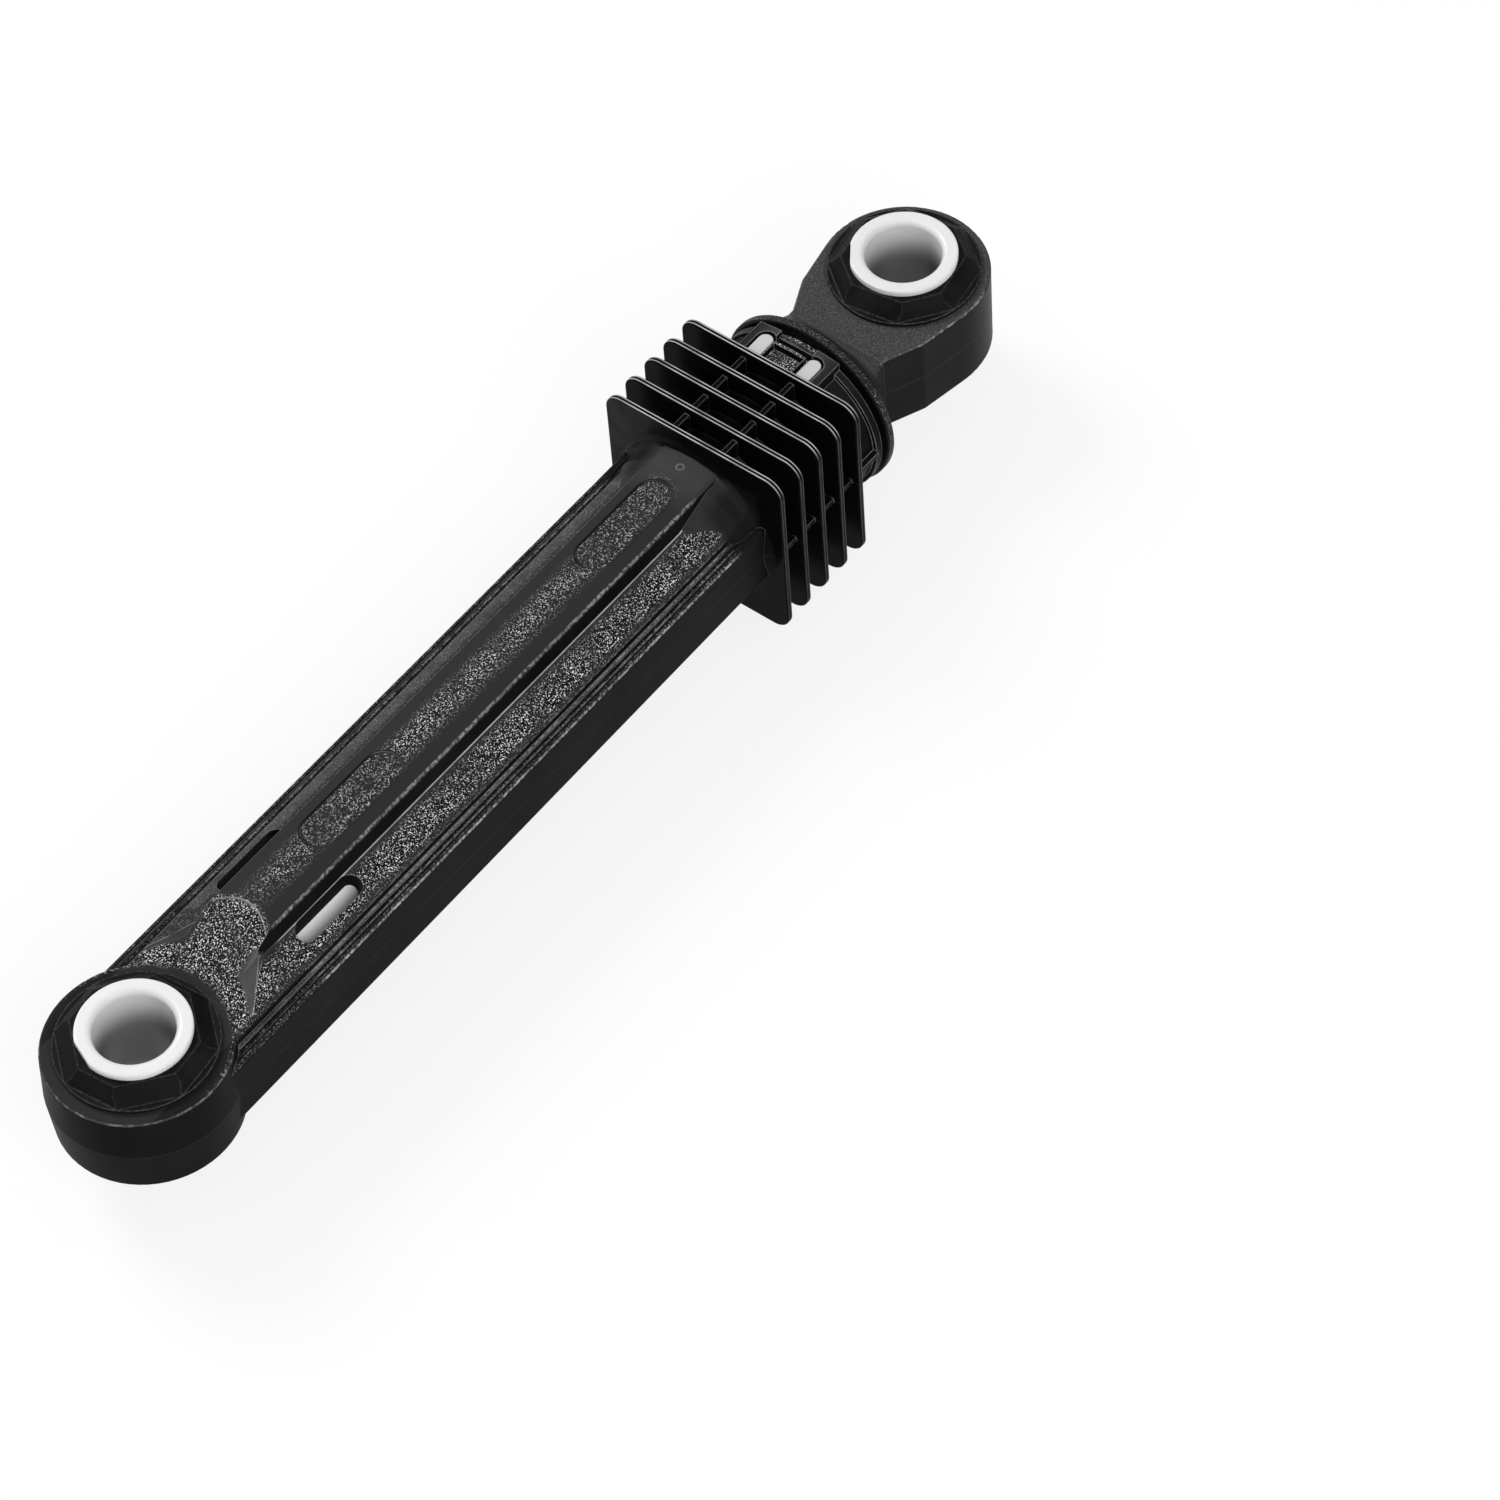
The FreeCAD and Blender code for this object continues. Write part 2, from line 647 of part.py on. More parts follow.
def add_mouth(body):
    """The bridge above and below the mouth, hollowed for the linings, with its openings."""
    bridge = new_sketch(body, "bridge", "YZ_Plane", "last_fin_end")
    outline(bridge, [
        ("bridge_half_width", "bridge_edge_height", "bridge_arch_radius", "left"),
        ("0 - bridge_half_width", "bridge_edge_height"),
        ("0 - bridge_half_width", "0 - bridge_edge_height", "bridge_arch_radius", "left"),
        ("bridge_half_width", "0 - bridge_edge_height"),
    ])
    extrude(body, "Pad", bridge, "ring_end - last_fin_end")
    bore = new_sketch(body, "bore", "XZ_Plane")
    outline(bore, [
        ("bore_start", "0"),
        ("bore_start", "bore_radius"),
        ("chamber_start", "bore_radius"),
        ("chamber_start", "chamber_radius"),
        ("mouth_end + mouth_ring_length", "chamber_radius"),
        ("mouth_end + mouth_ring_length", "0"),
    ])
    revolve(body, "Groove", bore)
    openings = new_sketch(body, "openings", "XY_Plane")
    for centre in ("rib_spread", "0 - rib_spread"):
        bullet(openings, "peg_start - peg_clearance", "peg_end + peg_clearance",
               centre, "(peg_width / 2 + peg_clearance)")
    extrude(body, "Pocket", openings, "4 * mouth_ring_radius", symmetric=True)
    window = new_sketch(body, "window", "XY_Plane")
    rectangle(window, "window_start", "window_end", "0 - window_half_width", "window_half_width")
    extrude(body, "Pocket", window, "4 * mouth_ring_radius", symmetric=True)
    for side, sign in (("upper", 1), ("lower", -1)):
        level = f"{sign} * (bridge_edge_height + panel_depth)"
        panel = new_sketch(body, f"{side}_panel", "XY_Plane", level)
        rectangle(panel, "panel_start", "panel_end", "0 - panel_half_width", "panel_half_width")
        extrude(body, "Pocket", panel, "2 * panel_depth", reverse=sign < 0)
        floor = f"{sign} * (bridge_edge_height - ridge_groove_depth)"
        groove = new_sketch(body, f"{side}_ridge_groove", "XY_Plane", floor)
        rectangle(groove, "panel_end + ridge_thickness", "window_end",
                  "0 - window_half_width", "window_half_width")
        extrude(body, "Pocket", groove, "4 * ridge_groove_depth", reverse=sign > 0)


def add_slots(body):
    """The breather slots beside the block, each narrowing down to the bore."""
    for side, across in (("left", 1), ("right", -1)):
        for face, up in (("upper", 1), ("lower", -1)):
            mouth = new_sketch(body, f"{side}_{face}_slot", "XY_Plane", f"{up} * block_foot_height")
            stadium(mouth, "slot_start", "slot_end",
                    f"{across} * slot_inner", f"{across} * slot_outer")
            floor = new_sketch(body, f"{side}_{face}_slot_floor", "XY_Plane",
                               f"{up} * slot_floor_height")
            stadium(floor, "slot_start", "slot_end",
                    f"{across} * slot_floor_inner", f"{across} * slot_floor_outer")
            loft(body, "SubtractiveLoft", [mouth, floor])


def add_ovals(body):
    """The shallow ovals near both ends of the block's top."""
    crown = "block_shoulder_height + block_arch_radius - sqrt(block_arch_radius ^ 2 - block_half_width ^ 2)"
    for face, up in (("upper", 1), ("lower", -1)):
        ovals = new_sketch(body, f"{face}_ovals", "XY_Plane", f"{up} * ({crown} - oval_depth)")
        for start in ("oval_first_start", "oval_second_start"):
            stadium(ovals, start, f"{start} + oval_length", "0 - oval_half_width", "oval_half_width")
        extrude(body, "Pocket", ovals, "2 * oval_depth", reverse=up > 0)


def make_housing():
    """The outer housing, one moulding from its eye to its mouth."""
    body = new_body("outer_housing")
    add_body(body)
    eye = new_sketch(body, "eye", "XZ_Plane")
    rim = "eye_half_thickness - eye_edge_radius"
    outline(eye, [
        ("0", "0 - eye_half_thickness"),
        ("eye_radius - eye_edge_radius", "0 - eye_half_thickness", "eye_edge_radius", "left"),
        ("eye_radius", minus(rim)),
        ("eye_middle_radius", "0"),
        ("eye_radius", rim, "eye_edge_radius", "left"),
        ("eye_radius - eye_edge_radius", "eye_half_thickness"),
        ("0", "eye_half_thickness"),
    ])
    revolve(body, "Revolution", eye, "V_Axis")
    add_fins(body)
    add_mouth(body)
    add_slots(body)
    add_ovals(body)
    hole = new_sketch(body, "eye_hole", "XY_Plane")
    ring(hole, "rubber_waist_radius + bush_fit")
    extrude(body, "Pocket", hole, "4 * eye_half_thickness", symmetric=True)
    return body


def is_eye_rim(edge):
    """Whether an edge runs round the top or bottom face of the plunger's eye, clear of its root."""
    points = edge.discretize(5)
    faces = [abs(abs(point.z) - size("eye_half_thickness")) for point in points]
    return max(faces) < 0.01 and points[2].x > size("flare_length - plunger_neck_length")


def make_plunger():
    """The plunger: tube with a spigot, shoulder disc, flared neck and eye, from its eye's centre."""
    body = new_body("plunger")
    bind(body, "Placement.Base.x", "plunger_place")
    stop = "0 - plunger_neck_length"
    disc_end = f"{stop} + shoulder_disc_thickness"
    eye = new_sketch(body, "plunger_eye", "XY_Plane")
    tangent_x = "0 - plunger_eye_radius * sin(plunger_eye_taper * 1 deg)"
    tangent_y = "plunger_eye_radius * cos(plunger_eye_taper * 1 deg)"
    corner_y = f"{tangent_y} - (plunger_side_corner + {tangent_x}) * tan(plunger_eye_taper * 1 deg)"
    corner = "0 - plunger_side_corner"
    straight = "0 - plunger_neck_straight"
    outline(eye, [
        (disc_end, "0 - plunger_neck_half_width"),
        (straight, "0 - plunger_neck_half_width"),
        (corner, minus(corner_y)),
        (tangent_x, minus(tangent_y), "plunger_eye_radius", "left"),
        ("plunger_eye_radius", "0", "plunger_eye_radius", "left"),
        (tangent_x, tangent_y),
        (corner, corner_y),
        (straight, "plunger_neck_half_width"),
        (disc_end, "plunger_neck_half_width"),
    ])
    slab = extrude(body, "Pad", eye, "2 * eye_half_thickness", symmetric=True)
    fillet(body, slab, is_eye_rim, "plunger_eye_edge_radius")
    tube = new_sketch(body, "tube", "XZ_Plane")
    disc_rim = "shoulder_disc_radius - shoulder_disc_edge_radius"
    outline(tube, [
        ("plunger_end", "tube_bore_radius"),
        ("plunger_end", "spigot_radius"),
        ("bead_end - spigot_bead_length / 2", "spigot_radius + spigot_bead_height"),
        ("bead_end", "spigot_radius"),
        ("tube_start", "spigot_radius"),
        ("tube_start", "tube_radius"),
        (stop, "tube_radius"),
        (stop, disc_rim, "shoulder_disc_edge_radius", "right"),
        (f"{stop} + shoulder_disc_edge_radius", "shoulder_disc_radius"),
        (f"{disc_end} - shoulder_disc_edge_radius", "shoulder_disc_radius",
         "shoulder_disc_edge_radius", "right"),
        (disc_end, disc_rim),
        (disc_end, "tube_bore_radius"),
    ])
    revolve(body, "Revolution", tube)
    flare_root = new_sketch(body, "flare_root", "YZ_Plane", disc_end)
    root = "shoulder_disc_radius - flare_root_step"
    rounded_rectangle(flare_root, root, root, f"{root} - flare_corner_flat")
    middle = new_sketch(body, "flare_middle_part", "YZ_Plane", f"{disc_end} + flare_middle")
    rounded_rectangle(middle, "flare_middle_half_width", "flare_middle_half_height",
                      "flare_middle_radius")
    tip = new_sketch(body, "flare_tip", "YZ_Plane", f"{disc_end} + flare_length")
    rounded_rectangle(tip, "plunger_neck_half_width", "eye_half_thickness",
                      "plunger_eye_edge_radius")
    loft(body, "AdditiveLoft", [flare_root, middle, tip])
    hole = new_sketch(body, "plunger_eye_hole", "XY_Plane")
    ring(hole, "rubber_waist_radius + bush_fit")
    extrude(body, "Pocket", hole, "4 * eye_half_thickness", symmetric=True)
    return body


def make_guide():
    """The guide that turns freely on the plunger's spigot and slides in the housing's bore."""
    body = new_body("piston_guide")
    bind(body, "Placement.Base.x", "plunger_place")
    profile = new_sketch(body, "guide_profile", "XZ_Plane")
    rectangle(profile, "guide_start", "guide_start + guide_length",
              "spigot_radius + guide_clearance", "bore_radius - guide_clearance")
    revolve(body, "Revolution", profile)
    return body


def make_carrier(name, turn):
    """A half shell with a lip at each end and two pegs on its back."""
    body = new_body(name)
    body.Placement = Placement(Vector(0, 0, 0), Rotation(Vector(1, 0, 0), turn))
    shell = new_sketch(body, f"{name}_shell", "XZ_Plane")
    rectangle(shell, "carrier_start", "carrier_end", "lining_radius", "carrier_radius")
    half_turn = revolve(body, "Revolution", shell, angle=179.0)
    bind(half_turn, "Angle", "180 - carrier_split_gap")
    pegs = new_sketch(body, f"{name}_pegs", "XY_Plane", "lining_radius")
    for centre in ("rib_spread", "0 - rib_spread"):
        bullet(pegs, "peg_start", "peg_end", centre, "(peg_width / 2)")
    extrude(body, "Pad", pegs, "peg_height - lining_radius")
    hollow = new_sketch(body, f"{name}_hollow", "XZ_Plane")
    outline(hollow, [
        ("carrier_start - carrier_lip", "0"),
        ("carrier_start - carrier_lip", "lining_radius"),
        ("carrier_start + carrier_lip", "lining_radius"),
        ("carrier_start + carrier_lip", "carrier_inner_radius"),
        ("carrier_end - carrier_lip", "carrier_inner_radius"),
        ("carrier_end - carrier_lip", "lining_radius"),
        ("peg_end + carrier_lip", "lining_radius"),
        ("peg_end + carrier_lip", "0"),
    ])
    revolve(body, "Groove", hollow)
    return body


def make_lining(name, turn):
    """A half ring of friction lining between the lips of its carrier."""
    body = new_body(name)
    body.Placement = Placement(Vector(0, 0, 0), Rotation(Vector(1, 0, 0), turn))
    profile = new_sketch(body, f"{name}_profile", "XZ_Plane")
    rectangle(profile, "carrier_start + carrier_lip + bush_fit",
              "carrier_end - carrier_lip - bush_fit",
              "lining_radius", "carrier_inner_radius - bush_fit")
    half_turn = revolve(body, "Revolution", profile, angle=179.0)
    bind(half_turn, "Angle", "180 - carrier_split_gap")
    return body


def make_cap():
    """The end cap: a flange on the mouth, a spigot in it and a latch in each window."""
    body = new_body("end_cap")
    profile = new_sketch(body, "cap_profile", "XZ_Plane")
    hole = "tube_radius + cap_bore_clearance"
    rim = "cap_radius - cap_edge_radius"
    outline(profile, [
        ("spigot_start", hole),
        ("spigot_start", "chamber_radius - carrier_fit"),
        ("mouth_end", "chamber_radius - carrier_fit"),
        ("mouth_end", rim, "cap_edge_radius", "right"),
        ("mouth_end + cap_edge_radius", "cap_radius"),
        ("cap_end - cap_edge_radius", "cap_radius", "cap_edge_radius", "right"),
        ("cap_end", rim),
        ("cap_end", hole),
    ])
    revolve(body, "Revolution", profile)
    latch = new_sketch(body, "latches", "XZ_Plane")
    for sign in (1, -1):
        outline(latch, [
            ("window_start + latch_play", f"{sign} * (chamber_radius - 2 * carrier_fit)"),
            ("window_start + latch_play", f"{sign} * (latch_height - latch_slope_height)"),
            ("window_start + latch_play + latch_slope_length", f"{sign} * latch_height"),
            ("window_end - latch_play", f"{sign} * latch_height"),
            ("window_end - latch_play", f"{sign} * (chamber_radius - latch_root_depth)"),
            ("spigot_start", f"{sign} * (chamber_radius - latch_root_depth)"),
        ])
    extrude(body, "Pad", latch, "2 * (window_half_width - latch_play)", symmetric=True)
    return body


def check(bodies):
    """Stops the build when an object failed or a body's shape is null or not valid."""
    for item in doc.Objects:
        if any(state in ("Invalid", "Error") for state in item.State):
            raise RuntimeError(f"{item.Name} is {item.State}")
    for body in bodies:
        if body.Shape.isNull() or not body.Shape.isValid():
            raise RuntimeError(f"{body.Label} has no valid shape")


fill_sheet()
bodies = [
    make_housing(),
    make_rubber("housing_rubber_bush", "0", "housing_rubber_turn"),
    make_sleeve("housing_bush_sleeve", "0", "housing_sleeve_turn"),
    make_plunger(),
    make_rubber("plunger_rubber_bush", "plunger_place", "plunger_rubber_turn"),
    make_sleeve("plunger_bush_sleeve", "plunger_place", "plunger_sleeve_turn"),
    make_guide(),
    make_carrier("lining_carrier_upper", 0),
    make_carrier("lining_carrier_lower", 180),
    make_lining("friction_lining_upper", 0),
    make_lining("friction_lining_lower", 180),
    make_cap(),
]
doc.recompute()
check(bodies)
os.makedirs("parts", exist_ok=True)
for body in bodies:
    body.Shape.exportStep(f"parts/{body.Label}.step")
    print(f"{body.Label}: {len(body.Shape.Solids)} solid, {body.Shape.Volume:.0f} mm3")
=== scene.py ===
import math

import bpy
from mathutils import Matrix, Vector


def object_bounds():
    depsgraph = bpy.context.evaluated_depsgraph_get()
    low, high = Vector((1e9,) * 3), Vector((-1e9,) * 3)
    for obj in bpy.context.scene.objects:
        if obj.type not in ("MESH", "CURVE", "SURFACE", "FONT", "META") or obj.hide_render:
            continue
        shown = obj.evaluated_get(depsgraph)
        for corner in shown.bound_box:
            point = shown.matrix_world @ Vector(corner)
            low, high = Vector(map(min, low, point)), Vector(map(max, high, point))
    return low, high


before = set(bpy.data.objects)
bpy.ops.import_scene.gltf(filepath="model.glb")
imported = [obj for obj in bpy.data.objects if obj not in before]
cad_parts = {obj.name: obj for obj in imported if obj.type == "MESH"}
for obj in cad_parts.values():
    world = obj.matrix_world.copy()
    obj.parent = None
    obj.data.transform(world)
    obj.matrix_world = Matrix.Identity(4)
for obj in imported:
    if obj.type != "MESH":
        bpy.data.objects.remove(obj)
CAD_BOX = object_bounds()
MILLIMETRES_PER_METRE = 1000.0

# Camera at the photograph's viewing angle, solved from the bushes, fins and eyes.
CAMERA_TARGET = Vector((0.11201, -0.03963, -0.0006))
CAMERA_DISTANCE = 1.01529
CAMERA_AZIMUTH = math.radians(-138.69)
CAMERA_ELEVATION = math.radians(52.04)
CAMERA_ROLL = math.radians(-4.52)
CAMERA_LENS = 142.71
SENSOR_WIDTH = 36.0

# The floor and the lights, in metres and watts. A lamp has a name, a place, a size and a power.
FLOOR_LEVEL = CAD_BOX[0].z
FLOOR_HALF_SIZE = 4.0
FLOOR_TONE, FLOOR_ROUGHNESS, FLOOR_SPECULAR = 0.9, 0.9, 0.1
FLOOR_GLOW, WHITE_STRENGTH = 0.8, 1.0
STUDIO_CENTRE_X = 0.1
WORLD_STRENGTH = 0.5
LAMPS = (
    ("key", (0.2, 0.95, 0.85), 0.6, 10.0),
    ("fill", (-0.3, -0.95, 0.85), 0.9, 9.0),
)

# Places on the damper, in millimetres. Half widths and heights count from its axis. A mask or a
# strength runs from the first place of a pair to the second, or a line lies between the two.
BUSH_CENTRES = (0.0, 209.25)
BORE_RADIUS = 7.1
SLEEVE_TOP, SLEEVE_BOTTOM = 13.5, -12.0
BORE_TOP_SHADE = (SLEEVE_TOP - 1.0, SLEEVE_TOP - 10)
BORE_BOTTOM_SHADE = (SLEEVE_BOTTOM, SLEEVE_BOTTOM + 8)
EYE_RADIUS, EYE_HALF_THICKNESS = 16.0, 8.8
EYE_EDGE = (EYE_RADIUS - 0.7, EYE_RADIUS + 0.5)
EYE_RIM_HEIGHTS = (EYE_HALF_THICKNESS - 0.5, EYE_HALF_THICKNESS - 0.15)
HOUSING_EYE_RIM = (-18.0, 6.0)
PLUNGER_EYE_RIM = (190.0, 212.0)
PLUNGER_NECK_START = (183.5, 185.0)
PLUNGER_PARTING_START = (185.0, 190.0)
PARTING_HALF_WIDTH = 0.08
RAMP_START, RAMP_RISE = 14.0, 0.4452
RAMP_REACH = 0.1
NECK_GRAIN_START, NECK_END = 4.0, 27.5
FLANK_START, FLANK_END = 15.7, 23.5
FLANK_FACE_START = FLANK_START - 1.5
FLANK_FACE_HALF_WIDTH = 12.0
FLANK_FOOT_WIDTHS = (11.7, 6.6)
FLANK_BROW_WIDTHS = (9.8, 5.0)
FLANK_BROW_START, FLANK_BROW_END = FLANK_START + 0.3, FLANK_START + 3.6
FOOT_LINE_HALF_WIDTH = 0.06
BROW_LINE_END = NECK_END + 3
CROWN_RADIUS = 15.7
BROW_LINE_RADII = (CROWN_RADIUS - 0.2, CROWN_RADIUS - 0.1)
STRAIGHT_START, BODY_END = 30.0, 139.0
BODY_MIDDLE = 92.25
BLOCK_TOP = 14.6
CROWN_HEIGHTS = (BLOCK_TOP, BLOCK_TOP + 0.4)
SHOULDER_WIDTHS = (5.85, 6.05)
SHOULDER_HEIGHTS = (BLOCK_TOP - 1.2, BLOCK_TOP - 1.0)
STRIP_START = (27.0, 40.0)
STRIP_HALF_WIDTH = 3.6
OVAL_REACH, OVAL_STRAIGHT, OVAL_HALF_WIDTH = 36.65, 8.0, 3.5
OUTLINE_SIDES = (-2.5, 1.0)
WING_INNER, WING_OUTER = 6.5, 11.5
WING_ROOT = (WING_INNER, WING_INNER + 0.15)
WING_FOOT = (WING_INNER + 3, WING_INNER + 0.3)
WING_LIGHT_START, WING_GRAIN_START = WING_INNER + 0.4, WING_INNER + 1.8
WING_TOP, WING_FALL = 13.63, 0.404
WING_REACH = 0.15
FAR_WING = (9.0, 9.6)
RAIL_START = (WING_OUTER, WING_OUTER + 0.2)
RAIL_SLOPE = (12.0, 12.5)
RAIL_SHADE = (12.3, 12.5)
RAIL_TOP = 9.2
RAIL_LINES = (12.48, 12.85, 14.0, 15.4)
RAIL_CREASES = (13.4, 14.55)
EDGE_HIGHLIGHT_CHANGE = (BODY_END - 9, BODY_END + 1)
TOP_LIGHT_CHANGE = (BODY_END - 3, BODY_END + 4)
FIN_ROOT_SHADE = (BODY_END - 0.5, BODY_END + 3)
FIN_ROOT_SHADE_WIDTHS = (5.0, 9.0)
MARK_PLACE = 144.6
MARK_RADII = (0.6, 0.75)
FINS_START, FINS_END = 148.1, 171.0
FIN_PITCH, FIN_THICKNESS = 5.4, 1.3
FIN_HALF_WIDTH, FIN_CORNER = 19.38, 3.5
FIN_RIM = (FIN_CORNER - 0.4, FIN_CORNER - 0.25)
FIN_LINES = (0.26, 0.44)
FIN_FACE_SIDES = (2.0, 17.0)
CORE_RADIUS = 14.8
GLOSS_SHADE_START = FINS_START - 0.7
GLOSS_SHADE_RADII = (CORE_RADIUS - 1.5, CORE_RADIUS)
RIB_TOP = 17.9
RIB_HEIGHTS = (RIB_TOP - 0.9, RIB_TOP - 0.3)
PANEL_START, PANEL_END = 171.5, 180.5
PANEL_HALF_WIDTH = 3.8
SIDE_CHANGE = (-1.0, 1.0)

# Strengths of the black pieces' grain, where 1 is all of it. The near side is -Y and the far side
# +Y. The photograph shows the far wing smoother and lighter than the near one.
NECK_GRAIN = 0.9
# The far wing's weaker grain and its painted lighter tone stand in for how light falls on it.
NEAR_WING_GRAIN, FAR_WING_GRAIN = 1.0, 0.15
RAIL_GRAIN = (0.25, 0.2)
STRIP_GRAIN, STRIP_SHARE_ON_OVAL = 0.85, 0.5
OVAL_GRAIN = 0.4
PLUNGER_GRAIN, CAP_GRAIN = 0.3, 0.5
PATCH_GRAIN, PATCH_EDGE_HIGHLIGHT = (0.4, 1.0), (0.5, 1.0)

# Strengths of the painted highlights and painted light along lines and on areas, where 1 is the tone
# of a painted edge highlight; the parting lines and the ejector mark are real marks.
FLANK_FOOT_LIGHT, BROW_LINE_LIGHT = 0.4, 0.35
FLANK_FACE_LIGHT = (0.08, 0.3)
NEAR_FLANK_LIGHT, FAR_FLANK_LIGHT = 0.12, 0.03
NEAR_SHOULDER_LIGHT, FAR_SHOULDER_LIGHT = 0.5, 0.1
WING_FOOT_LIGHT, FAR_WING_LIGHT = 0.03, 0.085
RAIL_LINE_LIGHT = 0.7
LINE_SPECK_LIGHT, RIM_SPECK_LIGHT = (0.15, 1.0), (0.2, 1.0)
MARK_LIGHT = 0.3
FIN_LINE_LIGHT, FIN_FACE_LIGHT = (0.1, 0.9), 0.05
HOUSING_RIM_LIGHT, PLUNGER_RIM_LIGHT = 0.35, 0.5
HOUSING_PARTING_LIGHT, PLUNGER_PARTING_LIGHT = 0.02, 0.03

# Strengths of their dark, glossy areas with painted shade, their tops lighter by painted light and
# their painted edge highlights. The ribs' and the fins' rims' strengths multiply the highlight of
# the area round them.
OUTLINE_SHADOW_SIDES, OUTLINE_SHADOW = (0.3, 1.0), 0.8
CREASE_SHADE = 0.9
BODY_TOP_LIGHT, ROOT_TOP_SHADE, RAIL_TOP_SHADE = 0.5, 0.2, 0.4
BODY_EDGE_HIGHLIGHT, SHOULDER_EDGE_HIGHLIGHT, MOUTH_EDGE_HIGHLIGHT_ADDED = 0.5, 0.2, 0.4
RIB_EDGE_HIGHLIGHT, FIN_RIM_EDGE_HIGHLIGHT = (0.2, 1.6), 0.1
PLUNGER_EDGE_HIGHLIGHT, CAP_EDGE_HIGHLIGHT = 0.5, 1.0

# Tones of the black plastic. A piece's own are those of its sides, its tops lit by painted light,
# and its specks.
HOUSING_TONES = (0.003, 0.05, 0.9)
PLUNGER_TONES = (0.003, 0.062, 0.2)
CAP_TONES = (0.003, 0.03, 0.3)
PIT_TONE, GLOSS_SHADE_TONE, EDGE_HIGHLIGHT_TONE = 0.002, 0.003, 0.5
GRAIN_TONE, GRAIN_TONE_STRENGTH = 0.04, 0.6
CLOUD_TONE_SHARE, CLOUD_STRENGTH = 0.5, 0.3

# Colours of the other materials.
RUBBER_TONE, RUBBER_BLOOM_TONE, RUBBER_HIGHLIGHT_TONE = 0.004, 0.010, 0.13
SLEEVE_TONE, CARRIER_TONE, GUIDE_TONE = 0.73, 0.54, 0.96
WHITE_SHADE_SHARE = 0.95
BORE_SHADE_TONE = (0.14, 0.14, 0.145)
FOAM_DARK, FOAM_LIGHT = (0.28, 0.24, 0.14), (0.55, 0.50, 0.36)
FOAM_GREASE = (0.20, 0.16, 0.07)

# Noises in the materials: scale, detail and roughness.
GRAIN_NOISE = (3600.0, 1.5, 0.6)
PATCH_NOISE = (220.0, 2.0)
CLOUD_NOISE = (45.0, 3.0)
FINE_NOISE = (6000.0, 1.0)
LINE_SPECK_NOISE = (1500.0, 1.0)
RIM_SPECK_NOISE = (900.0, 2.0)
RUBBER_NOISE, RUBBER_BLOOM_NOISE = (1800.0, 3.0, 0.6), (130.0, 3.0)
WHITE_NOISE, WHITE_SHADE_NOISE = (1200.0, 2.0), (90.0, 3.0)
FOAM_NOISE, FOAM_STAIN_NOISE = (1500.0, 4.0, 0.7), (120.0, 3.0)

# Values of a noise between which a mask rises.
NOISE_SPREAD, PATCH_SPREAD = (0.3, 0.7), (0.3, 0.6)
BRIGHT_SPECKS, DARK_SPECKS = (0.57, 0.63), (0.51, 0.45)
LINE_SPECKS, RIM_SPECKS = (0.4, 0.6), (0.45, 0.6)
RUBBER_BLOOM, FOAM_STAINS = (0.35, 0.65), (0.45, 0.7)
RUBBER_HIGHLIGHT_SPREAD, RUBBER_HIGHLIGHT_STRENGTHS = (0.4, 0.6), (0.2, 0.8)

# Tilts between which a mask rises. A tilt is 0 on an upright surface and 1 on a level one, and on
# the cap 0 on its rim and 1 on its face.
LEVEL_TILTS, PLUNGER_LEVEL_TILTS = (0.3, 0.45), (0.45, 0.7)
STEEP_TILTS = (0.5, 0.35)
EYE_RIM_TILTS = (0.35, 0.85)
FIN_LINE_TILTS = (0.25, 0.75)
CAP_RIM_TILTS = (0.5, 0.2)

# Cosine between the rounded normal and the surface's own, at which an edge gets its full painted
# highlight and at which it gets none.
BLACK_EDGES, RUBBER_EDGES = (0.80, 0.98), (0.86, 0.985)

# Roughness of each material at its smoothest and at its roughest, and its specular level.
BLACK_ROUGHNESS = (0.36, 0.46)
GRAIN_ROUGHNESS, GLOSS_SMOOTHNESS = 0.1, 0.16
RUBBER_ROUGHNESS, WHITE_ROUGHNESS, FOAM_ROUGHNESS = (0.48, 0.62), (0.32, 0.42), (0.55, 0.9)
HOUSING_SPECULAR, BLACK_SPECULAR, WHITE_SPECULAR = 0.02, 0.05, 0.4

# Radii over which the edges look rounded, and depths of the relief, in metres. A bump is its
# strength, and the reliefs of the fine noise and the ovals are shares of that depth.
BLACK_EDGE_RADIUS, RUBBER_EDGE_RADIUS, WHITE_EDGE_RADIUS = 0.00035, 0.0005, 0.0003
BLACK_DEPTH, RUBBER_DEPTH, WHITE_DEPTH, FOAM_DEPTH = 0.0002, 0.0001, 0.0001, 0.0004
BLACK_BUMP, RUBBER_BUMP, WHITE_BUMP, FOAM_BUMP = 0.5, 0.25, 0.1, 0.8
FINE_RELIEF, OVAL_RELIEF = 0.06, 2.0
BEVEL_SAMPLES = 6


def grey(tone):
    return (tone, tone, tone)


